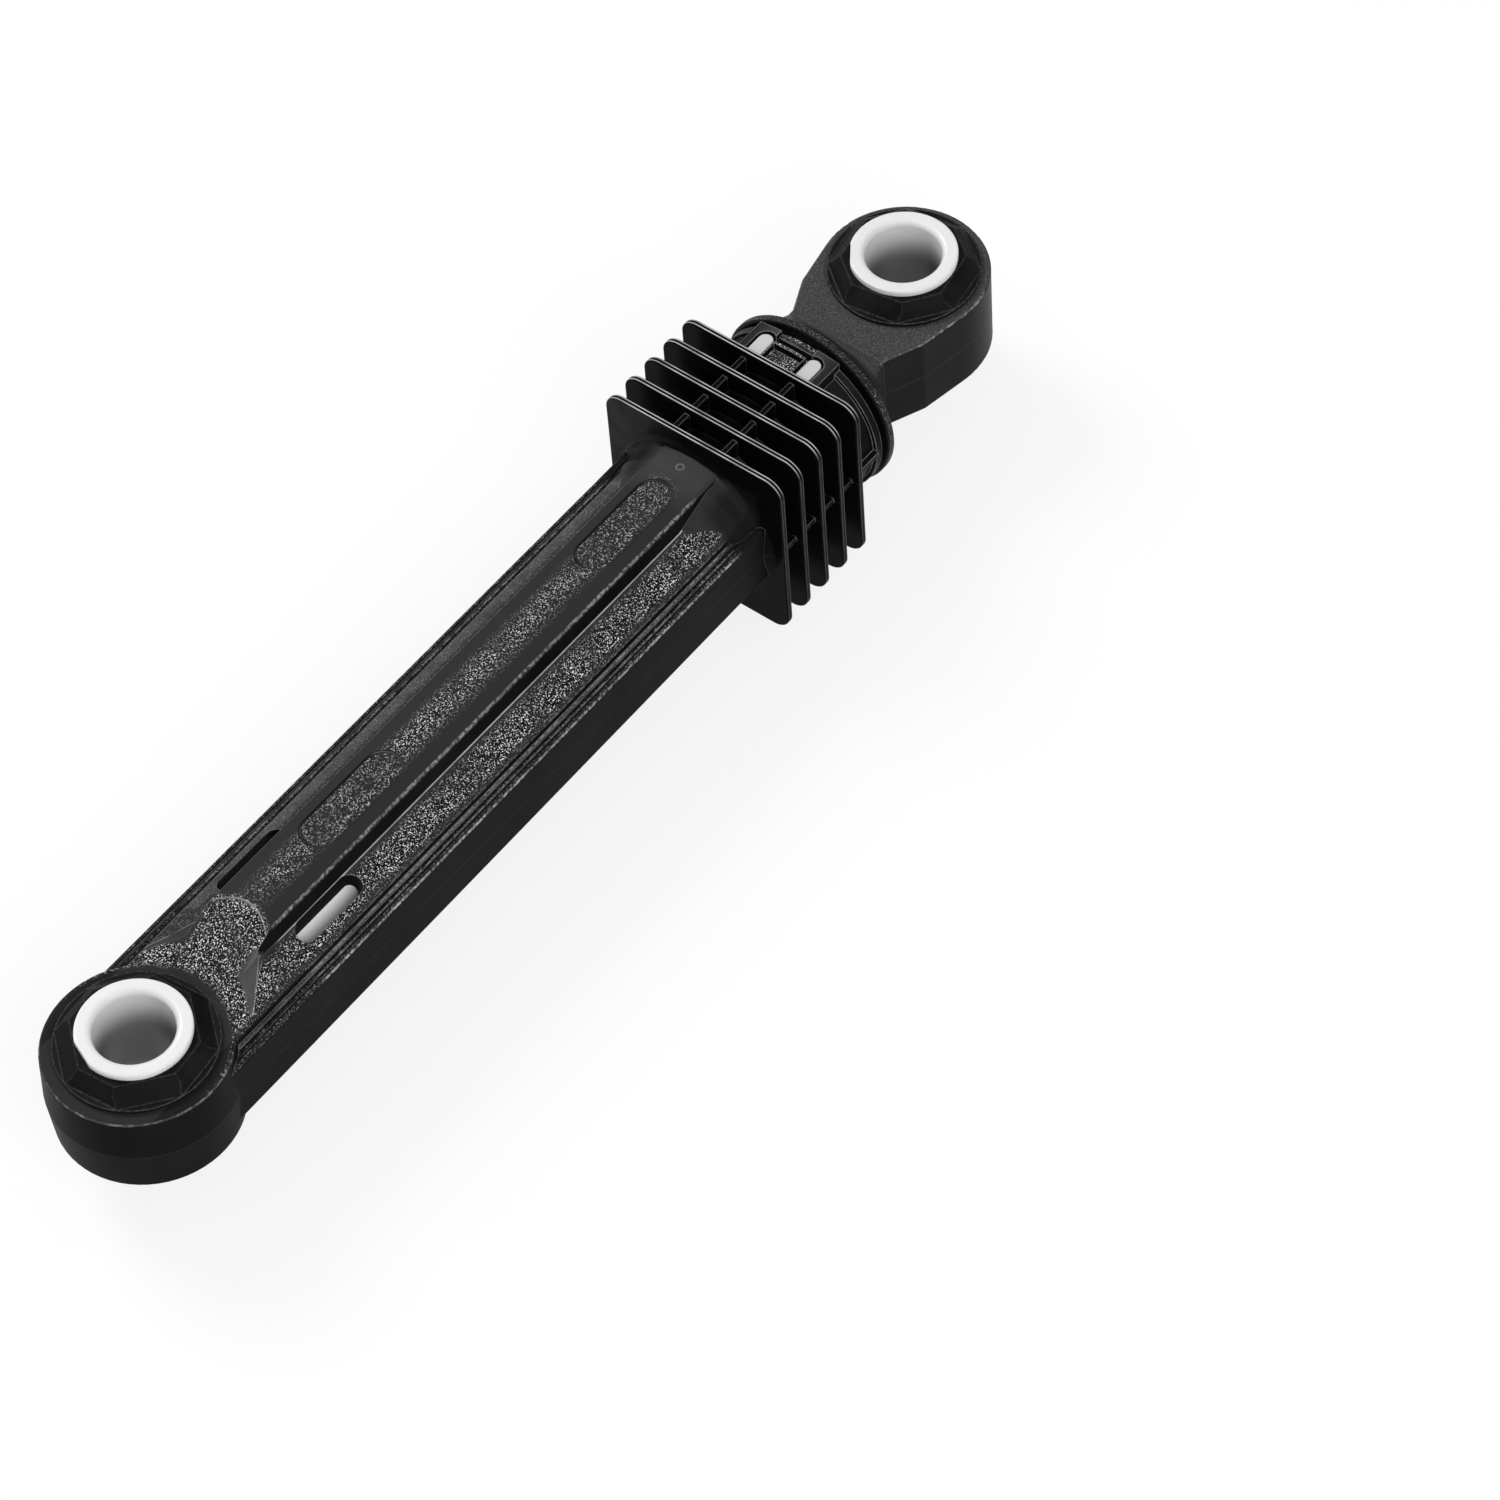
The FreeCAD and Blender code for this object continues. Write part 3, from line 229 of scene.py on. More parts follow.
class Nodes:
    """A material's node tree, with short calls to add and join nodes."""

    def __init__(self, name):
        self.material = bpy.data.materials.new(name)
        self.material.use_nodes = True
        self.tree = self.material.node_tree
        self.shader = self.tree.nodes["Principled BSDF"]
        coordinates = self.add("ShaderNodeTexCoord")
        self.place = coordinates.outputs["Object"]
        self.facing = coordinates.outputs["Normal"]

    def add(self, kind, **settings):
        node = self.tree.nodes.new(kind)
        for key, value in settings.items():
            setattr(node, key, value)
        return node

    def join(self, start, end):
        """Sets a socket to a number or colour, or links it to another socket."""
        if isinstance(start, bpy.types.NodeSocket):
            self.tree.links.new(start, end)
        elif isinstance(start, tuple):
            end.default_value = (*start, 1.0)
        else:
            end.default_value = start

    def math(self, operation, *values, clamp=False):
        node = self.add("ShaderNodeMath", operation=operation, use_clamp=clamp)
        for socket, value in zip(node.inputs, values):
            self.join(value, socket)
        return node.outputs["Value"]

    def largest(self, values):
        result = values[0]
        for value in values[1:]:
            result = self.math("MAXIMUM", result, value)
        return result

    def product(self, values):
        result = values[0]
        for value in values[1:]:
            result = self.math("MULTIPLY", result, value)
        return result

    def length(self, first, second):
        squares = [self.math("MULTIPLY", value, value) for value in (first, second)]
        return self.math("SQRT", self.math("ADD", *squares))

    def distance(self, value, other):
        return self.math("ABSOLUTE", self.math("SUBTRACT", value, other))

    def split(self, vector, scale=1.0):
        """The three parts of a vector, scaled."""
        node = self.add("ShaderNodeSeparateXYZ")
        self.join(vector, node.inputs["Vector"])
        return [self.math("MULTIPLY", output, scale) for output in node.outputs]

    def noise(self, scale, detail=2.0, roughness=0.5):
        node = self.add("ShaderNodeTexNoise")
        node.inputs["Scale"].default_value = scale
        node.inputs["Detail"].default_value = detail
        node.inputs["Roughness"].default_value = roughness
        self.join(self.place, node.inputs["Vector"])
        return node.outputs["Fac"]

    def remap(self, value, low, high, out_low=0.0, out_high=1.0, smooth=False):
        """A value's range from low to high, stretched to another range and held at its ends."""
        node = self.add("ShaderNodeMapRange")
        if smooth:
            node.interpolation_type = "SMOOTHSTEP"
        numbers = {"Value": value, "From Min": low, "From Max": high,
                   "To Min": out_low, "To Max": out_high}
        for name, number in numbers.items():
            self.join(number, node.inputs[name])
        return node.outputs["Result"]

    def inside(self, value, limit, soft):
        """1 where a value is below a limit, falling to 0 over a soft edge beyond it."""
        return self.remap(value, limit, limit + soft, 1.0, 0.0)

    def between(self, value, low, high, soft):
        """1 where a value lies between two others, falling to 0 over a soft edge outside them."""
        rise = self.remap(value, low - soft, low, smooth=True)
        fall = self.remap(value, high, high + soft, 1.0, 0.0, smooth=True)
        return self.math("MULTIPLY", rise, fall)

    def near(self, value, place, reach, soft):
        """1 where a value lies within reach of a place, falling to 0 over a soft edge beyond it."""
        return self.between(value, place - reach, place + reach, soft)

    def where(self, mask, strength):
        """A strength where a mask is 1, and 1 where the mask is 0."""
        return self.remap(mask, 0.0, 1.0, 1.0, strength)

    def mix(self, factor, first, second):
        node = self.add("ShaderNodeMix", data_type="RGBA")
        self.join(factor, node.inputs["Factor"])
        for name, colour in (("A", first), ("B", second)):
            socket = next(i for i in node.inputs if i.name == name and i.type == "RGBA")
            self.join(colour, socket)
        return next(o for o in node.outputs if o.type == "RGBA")

    def rounded(self, radius):
        """The surface normal with the object's edges rounded over."""
        node = self.add("ShaderNodeBevel", samples=BEVEL_SAMPLES)
        node.inputs["Radius"].default_value = radius
        return node.outputs["Normal"]

    def edges(self, rounded, low, high):
        """1 along the object's sharp edges and 0 elsewhere."""
        geometry = self.add("ShaderNodeNewGeometry")
        node = self.add("ShaderNodeVectorMath", operation="DOT_PRODUCT")
        self.join(rounded, node.inputs[0])
        self.join(geometry.outputs["Normal"], node.inputs[1])
        return self.remap(node.outputs["Value"], low, high, 1.0, 0.0)

    def bump(self, height, strength, depth, normal=None):
        node = self.add("ShaderNodeBump")
        self.join(strength, node.inputs["Strength"])
        node.inputs["Distance"].default_value = depth
        self.join(height, node.inputs["Height"])
        if normal is not None:
            self.join(normal, node.inputs["Normal"])
        return node.outputs["Normal"]

    def finish(self, colour, roughness, normal, specular):
        self.join(colour, self.shader.inputs["Base Color"])
        self.join(roughness, self.shader.inputs["Roughness"])
        self.join(normal, self.shader.inputs["Normal"])
        self.shader.inputs["Specular IOR Level"].default_value = specular
        return self.material


class MouldedNodes(Nodes):
    """The node tree of a black moulding, with where a point of it lies and how it faces."""

    def __init__(self, name):
        super().__init__(name)
        self.x, self.y, self.z = self.split(self.place, MILLIMETRES_PER_METRE)
        self.height = self.math("ABSOLUTE", self.z)
        self.tilt = self.math("ABSOLUTE", self.split(self.facing)[2])

    def eye_rim_highlight(self, start, end):
        """Painted highlight specks along the rounded rim of an eye, from one place on the damper to
        another.
        """
        place = self.between(self.height, *EYE_RIM_HEIGHTS, soft=0.08)
        turned = self.between(self.tilt, *EYE_RIM_TILTS, soft=0.1)
        speck = self.remap(self.noise(*RIM_SPECK_NOISE), *RIM_SPECKS, *RIM_SPECK_LIGHT)
        return self.product([place, turned, self.between(self.x, start, end, soft=2.0), speck])

    def parting_line(self):
        """The thin line at mid height where the halves of the mould met."""
        return self.inside(self.height, PARTING_HALF_WIDTH, soft=0.12)


class HousingNodes(MouldedNodes):
    """The housing's node tree, with the masks that its areas share."""

    def __init__(self, name):
        super().__init__(name)
        self.across = self.math("ABSOLUTE", self.y)
        self.far = self.math("MAXIMUM", self.across, self.height)
        self.level = self.remap(self.tilt, *LEVEL_TILTS)
        self.speck = self.remap(self.noise(*LINE_SPECK_NOISE), *LINE_SPECKS, *LINE_SPECK_LIGHT)
        past_eye = self.remap(self.length(self.x, self.y), *EYE_EDGE)
        on_body = self.between(self.x, BUSH_CENTRES[0], BODY_END, soft=3.0)
        self.along = self.product([on_body, past_eye])
        ramp_base = EYE_HALF_THICKNESS - RAMP_START * RAMP_RISE
        ramp = self.math("MULTIPLY_ADD", self.x, RAMP_RISE, ramp_base)
        ramp = self.math("MAXIMUM", ramp, EYE_HALF_THICKNESS)
        self.on_ramp = self.inside(self.distance(self.height, ramp), RAMP_REACH, soft=0.1)
        wing = self.math("MULTIPLY_ADD", self.across, -WING_FALL, WING_TOP)
        self.on_wing = self.inside(self.distance(self.height, wing), WING_REACH, soft=0.15)
        self.on_crown = self.product([self.remap(self.height, *CROWN_HEIGHTS), self.level])

    def by_side(self, near, far):
        """One strength on the near side and another on the far side."""
        return self.remap(self.y, *SIDE_CHANGE, near, far)


def grained_plastic(made, tones, specular, grain, top, edge_highlight, lines=0.0, gloss_and_shade=0.0, relief=0.0):
    """Black plastic with coarse grain, tops lighter by painted light, painted edge highlights,
    painted light lines and real marks, dark glossy areas with painted shade, and relief, each by a
    mask."""
    shaded_side_tone, lit_top_tone, speck_tone = tones
    speck = made.noise(*GRAIN_NOISE)
    patch = made.noise(*PATCH_NOISE)
    broad = made.noise(*CLOUD_NOISE)
    fine = made.noise(*FINE_NOISE)
    grain = made.product([grain, made.remap(patch, *PATCH_SPREAD, *PATCH_GRAIN)])
    bright = made.product([grain, made.remap(speck, *BRIGHT_SPECKS)])
    dark = made.product([grain, made.remap(speck, *DARK_SPECKS)])
    clouds = made.product([made.remap(broad, *NOISE_SPREAD), CLOUD_STRENGTH])
    # Tops are painted lighter than sides, as light from above would make them.
    colour = made.mix(top, grey(shaded_side_tone), grey(lit_top_tone))
    colour = made.mix(clouds, colour, grey(CLOUD_TONE_SHARE * lit_top_tone))
    colour = made.mix(made.product([grain, GRAIN_TONE_STRENGTH]), colour, grey(GRAIN_TONE))
    colour = made.mix(dark, colour, grey(PIT_TONE))
    colour = made.mix(bright, colour, grey(speck_tone))
    # Painted shade, dark and glossy, round the ovals, in the rails' grooves and on the fins.
    colour = made.mix(gloss_and_shade, colour, grey(GLOSS_SHADE_TONE))
    rounded = made.rounded(BLACK_EDGE_RADIUS)
    # Painted highlights along the sharp edges and the light lines, broken up in patches.
    highlit_edges = made.product([made.edges(rounded, *BLACK_EDGES), edge_highlight])
    highlit_edges = made.product([made.math("MAXIMUM", highlit_edges, lines),
                         made.remap(patch, *PATCH_SPREAD, *PATCH_EDGE_HIGHLIGHT)])
    colour = made.mix(highlit_edges, colour, grey(EDGE_HIGHLIGHT_TONE))
    roughness = made.remap(broad, *NOISE_SPREAD, *BLACK_ROUGHNESS)
    roughness = made.math("ADD", roughness, made.product([grain, GRAIN_ROUGHNESS]))
    roughness = made.math("SUBTRACT", roughness, made.product([gloss_and_shade, GLOSS_SMOOTHNESS]))
    height = made.math("ADD", made.product([speck, grain]), made.product([fine, FINE_RELIEF]))
    height = made.math("SUBTRACT", height, relief)
    normal = made.bump(height, BLACK_BUMP, BLACK_DEPTH, rounded)
    return made.finish(colour, roughness, normal, specular)


def neck_masks(made):
    """The neck's grain, its bare flanks, and the painted light on its flanks, feet and brow."""
    grain = made.product([made.between(made.x, NECK_GRAIN_START, NECK_END, soft=3.0),
                          made.on_ramp, NECK_GRAIN])
    along = made.between(made.x, FLANK_START, FLANK_END, soft=0.8)
    foot = made.remap(made.x, FLANK_START, FLANK_END, *FLANK_FOOT_WIDTHS)
    brow = made.remap(made.x, FLANK_BROW_START, FLANK_BROW_END, *FLANK_BROW_WIDTHS)
    past_brow = made.remap(made.math("SUBTRACT", made.across, brow), 0.0, 1.2, smooth=True)
    before_foot = made.remap(made.math("SUBTRACT", foot, made.across), 0.0, 0.3, smooth=True)
    flank = made.product([past_brow, before_foot, along])
    flank_top = made.product([flank, made.by_side(NEAR_FLANK_LIGHT, FAR_FLANK_LIGHT)])
    flank_face = made.product([made.between(made.x, FLANK_FACE_START, FLANK_END, soft=0.6),
                               made.remap(made.tilt, *STEEP_TILTS),
                               made.inside(made.across, FLANK_FACE_HALF_WIDTH, soft=0.3),
                               made.remap(made.x, FLANK_START, FLANK_END, *FLANK_FACE_LIGHT)])
    from_foot = made.distance(made.across, foot)
    foot_line = made.product([made.inside(from_foot, FOOT_LINE_HALF_WIDTH, soft=0.1),
                              along, FLANK_FOOT_LIGHT])
    from_axis = made.length(made.y, made.z)
    brow_line = made.product([made.between(from_axis, *BROW_LINE_RADII, soft=0.06),
                              made.on_ramp, made.between(made.x, FLANK_END, BROW_LINE_END, soft=0.5),
                              BROW_LINE_LIGHT])
    return grain, flank, [flank_top, flank_face, foot_line, brow_line]


def side_masks(made):
    """The grain of the wings and rails, their straight painted highlights, the painted light on the
    wings and the painted shade in the rails' grooves."""
    wings = made.product([made.between(made.across, WING_GRAIN_START, WING_OUTER, soft=1.6),
                          made.on_wing, made.by_side(NEAR_WING_GRAIN, FAR_WING_GRAIN)])
    rails = made.product([made.remap(made.across, *RAIL_START),
                          made.remap(made.across, *RAIL_SLOPE, *RAIL_GRAIN),
                          made.inside(made.height, RAIL_TOP, soft=0.2)])
    wing_root = made.product([made.between(made.across, *WING_ROOT, soft=0.08),
                              made.on_wing, made.level])
    rail_lines = [made.product([made.near(made.across, place, reach=0.08, soft=0.1),
                                made.speck, made.level, RAIL_LINE_LIGHT])
                  for place in RAIL_LINES]
    wing_foot = made.remap(made.across, *WING_FOOT, 0.0, WING_FOOT_LIGHT)
    far_wing = made.remap(made.y, *FAR_WING, 0.0, FAR_WING_LIGHT)
    wing_light = made.product([made.math("MAXIMUM", wing_foot, far_wing), made.on_wing, made.level,
                               made.between(made.across, WING_LIGHT_START, WING_OUTER, soft=0.3),
                               made.between(made.x, NECK_END, BODY_END, soft=3.0)])
    # Painted shade in the rails' grooves.
    creases = [made.product([made.near(made.across, place, reach=0.15, soft=0.1),
                             made.level, made.along, CREASE_SHADE])
               for place in RAIL_CREASES]
    return [wings, rails], [wing_root] + rail_lines, wing_light, creases


def block_masks(made):
    """The grain of the block's crown, its two ovals, the painted shadow round their edges, and the
    painted highlight on the shoulder.
    """
    from_end = made.distance(made.distance(made.x, BODY_MIDDLE), OVAL_REACH)
    past_straight = made.math("MAXIMUM", made.math("SUBTRACT", from_end, OVAL_STRAIGHT), 0.0)
    from_oval = made.length(past_straight, made.y)
    oval = made.product([made.inside(from_oval, OVAL_HALF_WIDTH - 0.1, soft=0.2), made.on_crown])
    strip = made.product([made.remap(made.across, 0.0, STRIP_HALF_WIDTH, STRIP_GRAIN, 0.0),
                          made.remap(made.x, *STRIP_START),
                          made.where(oval, STRIP_SHARE_ON_OVAL)])
    oval_grain = made.product([oval, OVAL_GRAIN])
    grain = made.product([made.on_crown, made.math("MAXIMUM", strip, oval_grain)])
    # Painted shadow round the ovals, strongest on the far side.
    outline = made.product([made.near(from_oval, OVAL_HALF_WIDTH, reach=0.2, soft=0.15),
                            made.remap(made.y, *OUTLINE_SIDES, *OUTLINE_SHADOW_SIDES),
                            made.on_crown])
    shoulder = made.product([made.between(made.across, *SHOULDER_WIDTHS, soft=0.15),
                             made.remap(made.height, *SHOULDER_HEIGHTS),
                             made.by_side(NEAR_SHOULDER_LIGHT, FAR_SHOULDER_LIGHT), made.speck])
    return grain, oval, outline, shoulder


def fin_masks(made):
    """The fins' rims, their dark glossy finish with painted shade, and the painted light on them:
    two thin painted highlights along each rim, where the moulding catches the light, and the first
    fin's face."""
    corner = FIN_HALF_WIDTH - FIN_CORNER
    past_corner = [made.math("MAXIMUM", made.math("SUBTRACT", value, corner), 0.0)
                   for value in (made.across, made.height)]
    rim = made.product([made.remap(made.length(*past_corner), *FIN_RIM),
                        made.between(made.x, FINS_START - 0.1, FINS_END + 0.1, soft=0.05)])
    from_fin_start = made.math("MODULO", made.math("SUBTRACT", made.x, FINS_START), FIN_PITCH)
    from_fin_middle = made.distance(from_fin_start, FIN_THICKNESS / 2)
    rim_lines = made.product([rim, made.between(from_fin_middle, *FIN_LINES, soft=0.05),
                              made.remap(made.tilt, *FIN_LINE_TILTS, *FIN_LINE_LIGHT)])
    first_face = made.product([made.near(made.x, FINS_START, reach=0.2, soft=0.1),
                               made.remap(made.y, *FIN_FACE_SIDES), FIN_FACE_LIGHT])
    # Glossy finish on the fins, darkened by painted shade.
    gloss_and_shade = made.product([made.between(made.x, GLOSS_SHADE_START, FINS_END, soft=0.3),
                          made.remap(made.far, *GLOSS_SHADE_RADII)])
    return rim, gloss_and_shade, [rim_lines, first_face]


def housing_edge_highlight(made, fin_rim):
    """How strong the painted highlight on the housing's edges is: little on the fins' rims and the
    ribs' sides, more on the ribs' tops and at the mouth."""
    body = made.remap(made.x, *EDGE_HIGHLIGHT_CHANGE, BODY_EDGE_HIGHLIGHT, SHOULDER_EDGE_HIGHLIGHT)
    mouth = made.remap(made.x, FINS_END, PANEL_START, 0.0, MOUTH_EDGE_HIGHLIGHT_ADDED)
    among_fins = made.between(made.x, FINS_START + 0.2, FINS_END - 0.2, soft=0.1)
    ribs = made.remap(made.far, *RIB_HEIGHTS, *RIB_EDGE_HIGHLIGHT)
    return made.product([made.math("ADD", body, mouth), made.where(among_fins, ribs),
                         made.where(fin_rim, FIN_RIM_EDGE_HIGHLIGHT)])


def housing_top_light(made):
    """The painted light on the housing's level surfaces: least on the rails and near the fins,
    painted in shade.
    """
    # Painted shade where the body meets the fins.
    root_shade = made.product([made.remap(made.x, *FIN_ROOT_SHADE),
                         made.remap(made.across, *FIN_ROOT_SHADE_WIDTHS)])
    return made.product([made.level, made.remap(made.x, *TOP_LIGHT_CHANGE, BODY_TOP_LIGHT, 1.0),
                         made.where(root_shade, ROOT_TOP_SHADE),
                         made.remap(made.across, *RAIL_SHADE, 1.0, RAIL_TOP_SHADE)])


def housing_plastic():
    """The housing's plastic: grain on neck, wings, rails and block strip, glossy fins darkened by
    painted shade.
    """
    made = HousingNodes("housing_plastic")
    neck_grain, flank, neck_lights = neck_masks(made)
    side_grains, side_lines, wing_light, creases = side_masks(made)
    crown_grain, oval, outline, shoulder = block_masks(made)
    fin_rim, fin_gloss_and_shade, fin_lights = fin_masks(made)
    panel_grain = made.product([made.between(made.x, PANEL_START, PANEL_END, soft=0.1),
                                made.inside(made.across, PANEL_HALF_WIDTH, soft=0.3)])
    body_grain = made.product([made.along, made.largest([neck_grain, crown_grain] + side_grains)])
    grain = made.product([made.level, made.largest([body_grain, panel_grain])])
    grain = made.math("SUBTRACT", grain, made.math("MAXIMUM", outline, flank), clamp=True)
    straight = made.product([made.between(made.x, STRAIGHT_START, BODY_END, soft=3.0),
                             made.largest([shoulder] + side_lines)])
    rim = made.product([made.eye_rim_highlight(*HOUSING_EYE_RIM), HOUSING_RIM_LIGHT])
    parting = made.product([made.parting_line(), HOUSING_PARTING_LIGHT])
    from_mark = made.length(made.math("SUBTRACT", made.x, MARK_PLACE), made.y)
    mark = made.product([made.between(from_mark, *MARK_RADII, soft=0.1),
                         made.level, MARK_LIGHT])
    return grained_plastic(
        made, HOUSING_TONES, HOUSING_SPECULAR, grain,
        top=housing_top_light(made),
        edge_highlight=housing_edge_highlight(made, fin_rim),
        lines=made.largest([straight, rim, parting, mark, wing_light] + neck_lights + fin_lights),
        gloss_and_shade=made.largest([fin_gloss_and_shade, made.product([outline, OUTLINE_SHADOW])] + creases),
        relief=made.product([oval, OVAL_RELIEF]),
    )


def plunger_plastic():
    """The plunger's plastic: faint grain on its neck and eye, smooth tube."""
    made = MouldedNodes("plunger_plastic")
    level = made.product([made.remap(made.tilt, *PLUNGER_LEVEL_TILTS),
                          made.remap(made.x, *PLUNGER_NECK_START)])
    parting = made.product([made.parting_line(),
                            made.remap(made.x, *PLUNGER_PARTING_START),
                            PLUNGER_PARTING_LIGHT])
    rim = made.product([made.eye_rim_highlight(*PLUNGER_EYE_RIM), PLUNGER_RIM_LIGHT])
    # The plunger's level surfaces are painted lighter, as lit from above.
    return grained_plastic(made, PLUNGER_TONES, BLACK_SPECULAR, made.product([level, PLUNGER_GRAIN]),
                           top=level, edge_highlight=PLUNGER_EDGE_HIGHLIGHT, lines=made.largest([parting, rim]))


def cap_plastic():
    """The end cap's plastic, with grain round its flange."""
    made = Nodes("cap_plastic")
    tilt = made.math("ABSOLUTE", made.split(made.facing)[0])
    grain = made.product([made.remap(tilt, *CAP_RIM_TILTS), CAP_GRAIN])
    # The cap's rim takes the painted lighter tone where its grain is.
    return grained_plastic(made, CAP_TONES, BLACK_SPECULAR, grain, top=grain, edge_highlight=CAP_EDGE_HIGHLIGHT)


def rubber():
    """Matt black rubber with a soft bloom and painted highlights along its sharp edges."""
    made = Nodes("bush_rubber")
    fine = made.noise(*RUBBER_NOISE)
    broad = made.noise(*RUBBER_BLOOM_NOISE)
    colour = made.mix(made.remap(broad, *RUBBER_BLOOM), grey(RUBBER_TONE), grey(RUBBER_BLOOM_TONE))
    rounded = made.rounded(RUBBER_EDGE_RADIUS)
    # Painted highlights along the rubber's sharp edges.
    rubber_edge_highlights = made.product([made.edges(rounded, *RUBBER_EDGES),
                           made.remap(fine, *RUBBER_HIGHLIGHT_SPREAD, *RUBBER_HIGHLIGHT_STRENGTHS)])
    colour = made.mix(rubber_edge_highlights, colour, grey(RUBBER_HIGHLIGHT_TONE))
    roughness = made.remap(broad, *NOISE_SPREAD, *RUBBER_ROUGHNESS)
    normal = made.bump(fine, RUBBER_BUMP, RUBBER_DEPTH, rounded)
    return made.finish(colour, roughness, normal, BLACK_SPECULAR)


def deep_in_bores(made):
    """1 deep in the two bush bores and 0 elsewhere."""
    x, y, z = made.split(made.place, MILLIMETRES_PER_METRE)
    bores = [made.inside(made.length(made.math("SUBTRACT", x, centre), y), BORE_RADIUS, soft=0.1)
             for centre in BUSH_CENTRES]
    below_top = made.remap(z, *BORE_TOP_SHADE, smooth=True)
    above_bottom = made.remap(z, *BORE_BOTTOM_SHADE, smooth=True)
    return made.product([made.largest(bores), made.math("MINIMUM", below_top, above_bottom)])


def white_plastic(name, tone, shaded_bores=False):
    """White moulded plastic, on the sleeves with painted shade deep in their bores."""
    made = Nodes(name)
    fine = made.noise(*WHITE_NOISE)
    broad = made.noise(*WHITE_SHADE_NOISE)
    colour = made.mix(made.remap(broad, *NOISE_SPREAD), grey(tone), grey(WHITE_SHADE_SHARE * tone))
    if shaded_bores:
        # Painted shade deep in the bores.
        colour = made.mix(deep_in_bores(made), colour, BORE_SHADE_TONE)
    roughness = made.remap(broad, *NOISE_SPREAD, *WHITE_ROUGHNESS)
    normal = made.bump(fine, WHITE_BUMP, WHITE_DEPTH, made.rounded(WHITE_EDGE_RADIUS))
    return made.finish(colour, roughness, normal, WHITE_SPECULAR)


def foam():
    """Open foam soaked in yellowish grease."""
    made = Nodes("lining_foam")
    cells = made.noise(*FOAM_NOISE)
    stain = made.noise(*FOAM_STAIN_NOISE)
    colour = made.mix(cells, FOAM_DARK, FOAM_LIGHT)
    colour = made.mix(made.remap(stain, *FOAM_STAINS), colour, FOAM_GREASE)
    roughness = made.remap(stain, *NOISE_SPREAD, *FOAM_ROUGHNESS)
    normal = made.bump(cells, FOAM_BUMP, FOAM_DEPTH)
    return made.finish(colour, roughness, normal, WHITE_SPECULAR)


def add_materials():
    """Gives each CAD node its material, in place of the frame's plain one."""
    sleeve = white_plastic("sleeve_plastic", SLEEVE_TONE, shaded_bores=True)
    carrier = white_plastic("carrier_plastic", CARRIER_TONE)
    guide = white_plastic("guide_plastic", GUIDE_TONE)
    materials = (
        (housing_plastic(), ["outer_housing"]),
        (cap_plastic(), ["end_cap"]),
        (plunger_plastic(), ["plunger"]),
        (rubber(), ["housing_rubber_bush", "plunger_rubber_bush"]),
        (sleeve, ["housing_bush_sleeve", "plunger_bush_sleeve"]),
        (carrier, ["lining_carrier_upper", "lining_carrier_lower"]),
        (guide, ["piston_guide"]),
        (foam(), ["friction_lining_upper", "friction_lining_lower"]),
    )
    for material, nodes in materials:
        for node in nodes:
            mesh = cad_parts[node].data
            mesh.materials.clear()
            mesh.materials.append(material)


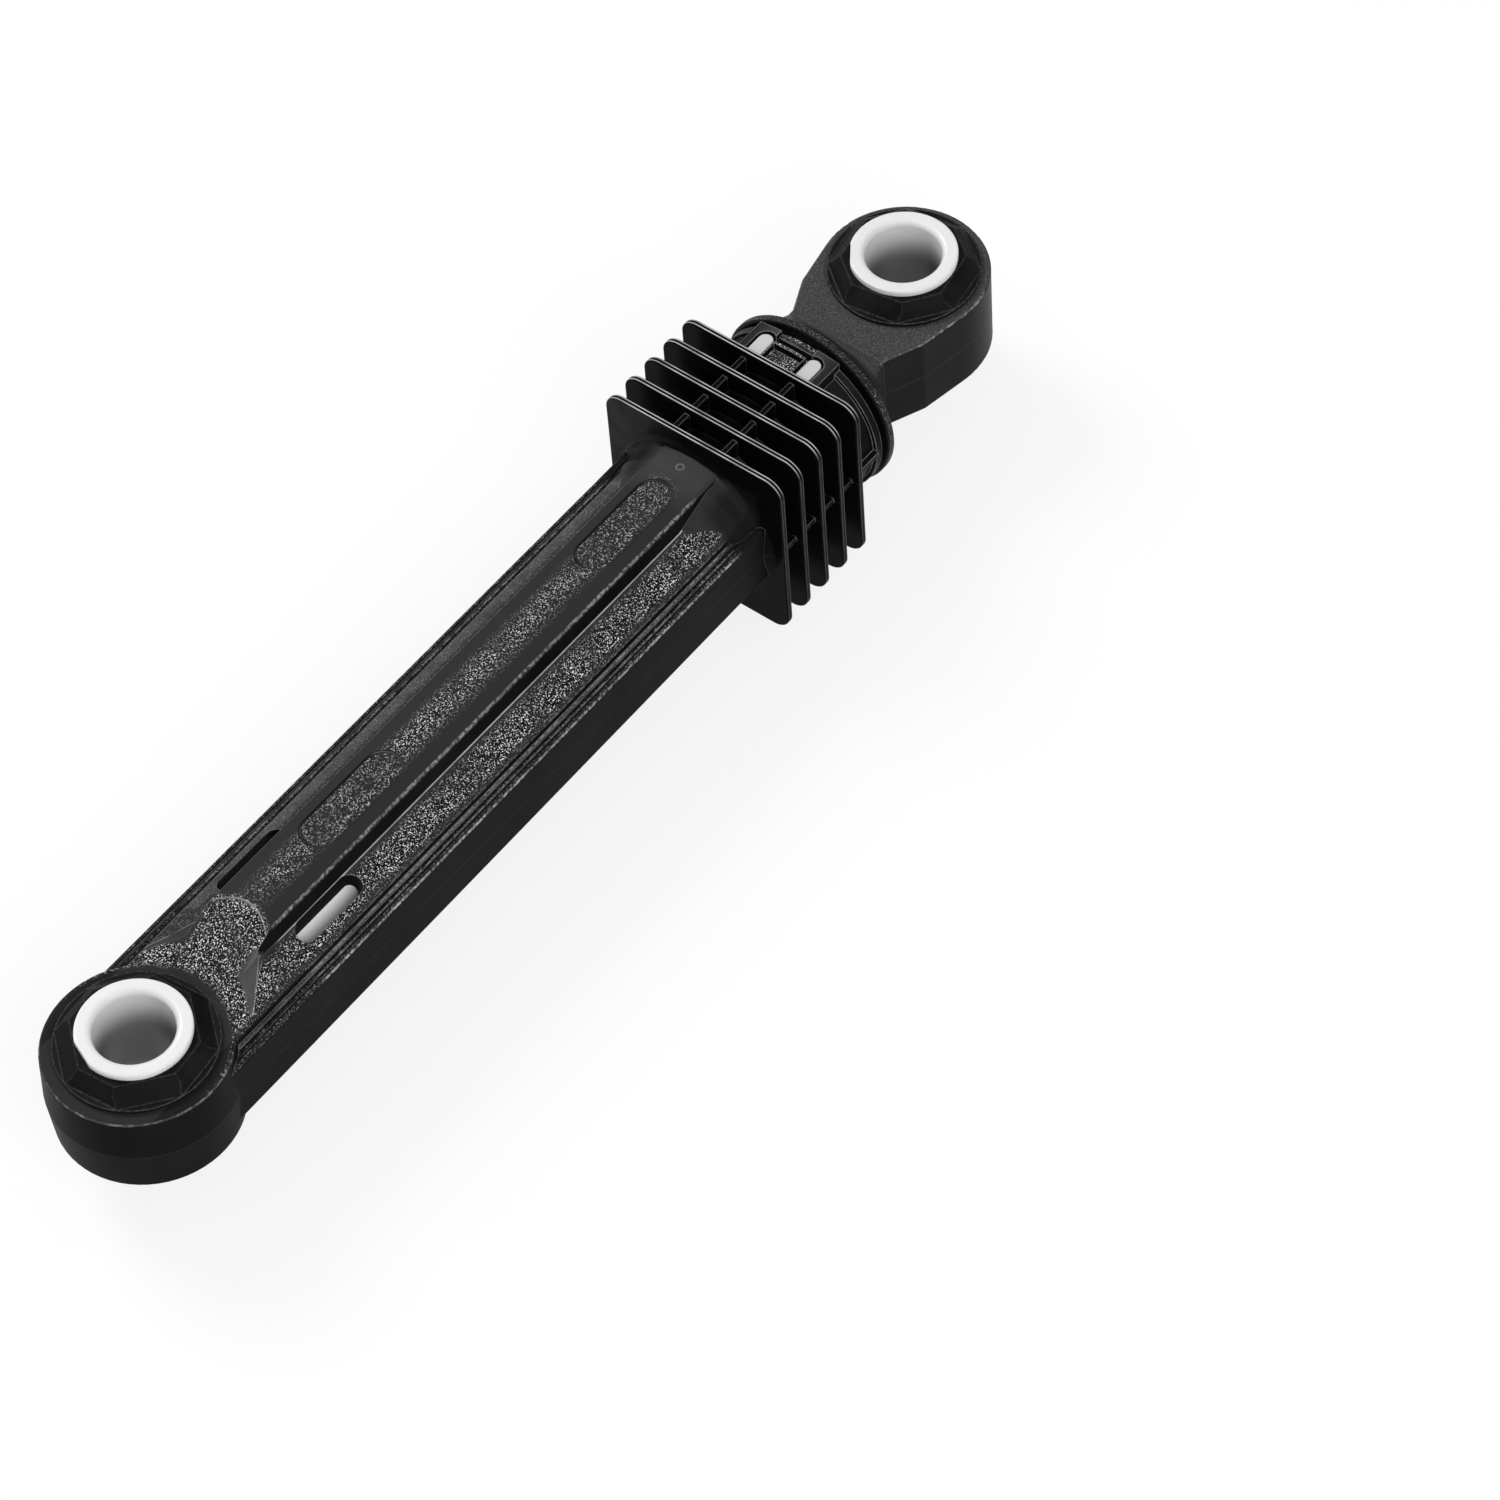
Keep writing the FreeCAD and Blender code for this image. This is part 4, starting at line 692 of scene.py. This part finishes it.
def add_floor():
    """A white floor that keeps the damper's shadow."""
    size = FLOOR_HALF_SIZE
    mesh = bpy.data.meshes.new("floor")
    corners = [(-size, -size, 0), (size, -size, 0), (size, size, 0), (-size, size, 0)]
    mesh.from_pydata(corners, [], [(0, 1, 2, 3)])
    floor = bpy.data.objects.new("floor", mesh)
    floor.location = (STUDIO_CENTRE_X, 0, FLOOR_LEVEL)
    bpy.context.scene.collection.objects.link(floor)
    made = Nodes("floor_white")
    made.join(grey(FLOOR_TONE), made.shader.inputs["Base Color"])
    made.join(FLOOR_ROUGHNESS, made.shader.inputs["Roughness"])
    made.join(FLOOR_SPECULAR, made.shader.inputs["Specular IOR Level"])
    path = made.add("ShaderNodeLightPath")
    rays = ("Is Camera Ray", "Is Glossy Ray", "Is Transmission Ray")
    seen = made.largest([path.outputs[name] for name in rays])
    glow = made.add("ShaderNodeEmission")
    glow.inputs["Strength"].default_value = WHITE_STRENGTH
    blend = made.add("ShaderNodeMixShader")
    made.join(made.math("MULTIPLY", seen, FLOOR_GLOW), blend.inputs["Fac"])
    made.join(made.shader.outputs["BSDF"], blend.inputs[1])
    made.join(glow.outputs["Emission"], blend.inputs[2])
    made.join(blend.outputs["Shader"], made.tree.nodes["Material Output"].inputs["Surface"])
    mesh.materials.append(made.material)


def add_lights():
    world = bpy.data.worlds.new("studio")
    bpy.context.scene.world = world
    world.use_nodes = True
    background = world.node_tree.nodes["Background"]
    background.inputs["Color"].default_value = (1, 1, 1, 1)
    background.inputs["Strength"].default_value = WORLD_STRENGTH
    centre = Vector((STUDIO_CENTRE_X, 0, 0))
    for name, place, size, power in LAMPS:
        light = bpy.data.lights.new(name, "AREA")
        light.shape = "DISK"
        light.size = size
        light.energy = power
        lamp = bpy.data.objects.new(name, light)
        lamp.location = place
        lamp.rotation_mode = "QUATERNION"
        lamp.rotation_quaternion = (centre - Vector(place)).to_track_quat("-Z", "Y")
        bpy.context.scene.collection.objects.link(lamp)


def add_camera():
    out = Vector((math.cos(CAMERA_ELEVATION) * math.cos(CAMERA_AZIMUTH),
                  math.cos(CAMERA_ELEVATION) * math.sin(CAMERA_AZIMUTH),
                  math.sin(CAMERA_ELEVATION)))
    level = Vector((-math.sin(CAMERA_AZIMUTH), math.cos(CAMERA_AZIMUTH), 0))
    up = out.cross(level)
    right = math.cos(CAMERA_ROLL) * level + math.sin(CAMERA_ROLL) * up
    top = -math.sin(CAMERA_ROLL) * level + math.cos(CAMERA_ROLL) * up
    data = bpy.data.cameras.new("camera")
    data.sensor_width = SENSOR_WIDTH
    data.lens = CAMERA_LENS
    camera = bpy.data.objects.new("camera", data)
    turn = Matrix((right, top, out)).transposed()
    camera.matrix_world = Matrix.Translation(CAMERA_TARGET + CAMERA_DISTANCE * out) @ turn.to_4x4()
    bpy.context.scene.collection.objects.link(camera)
    bpy.context.scene.camera = camera


add_materials()
add_floor()
add_lights()
add_camera()
bpy.context.scene.view_settings.view_transform = "Standard"
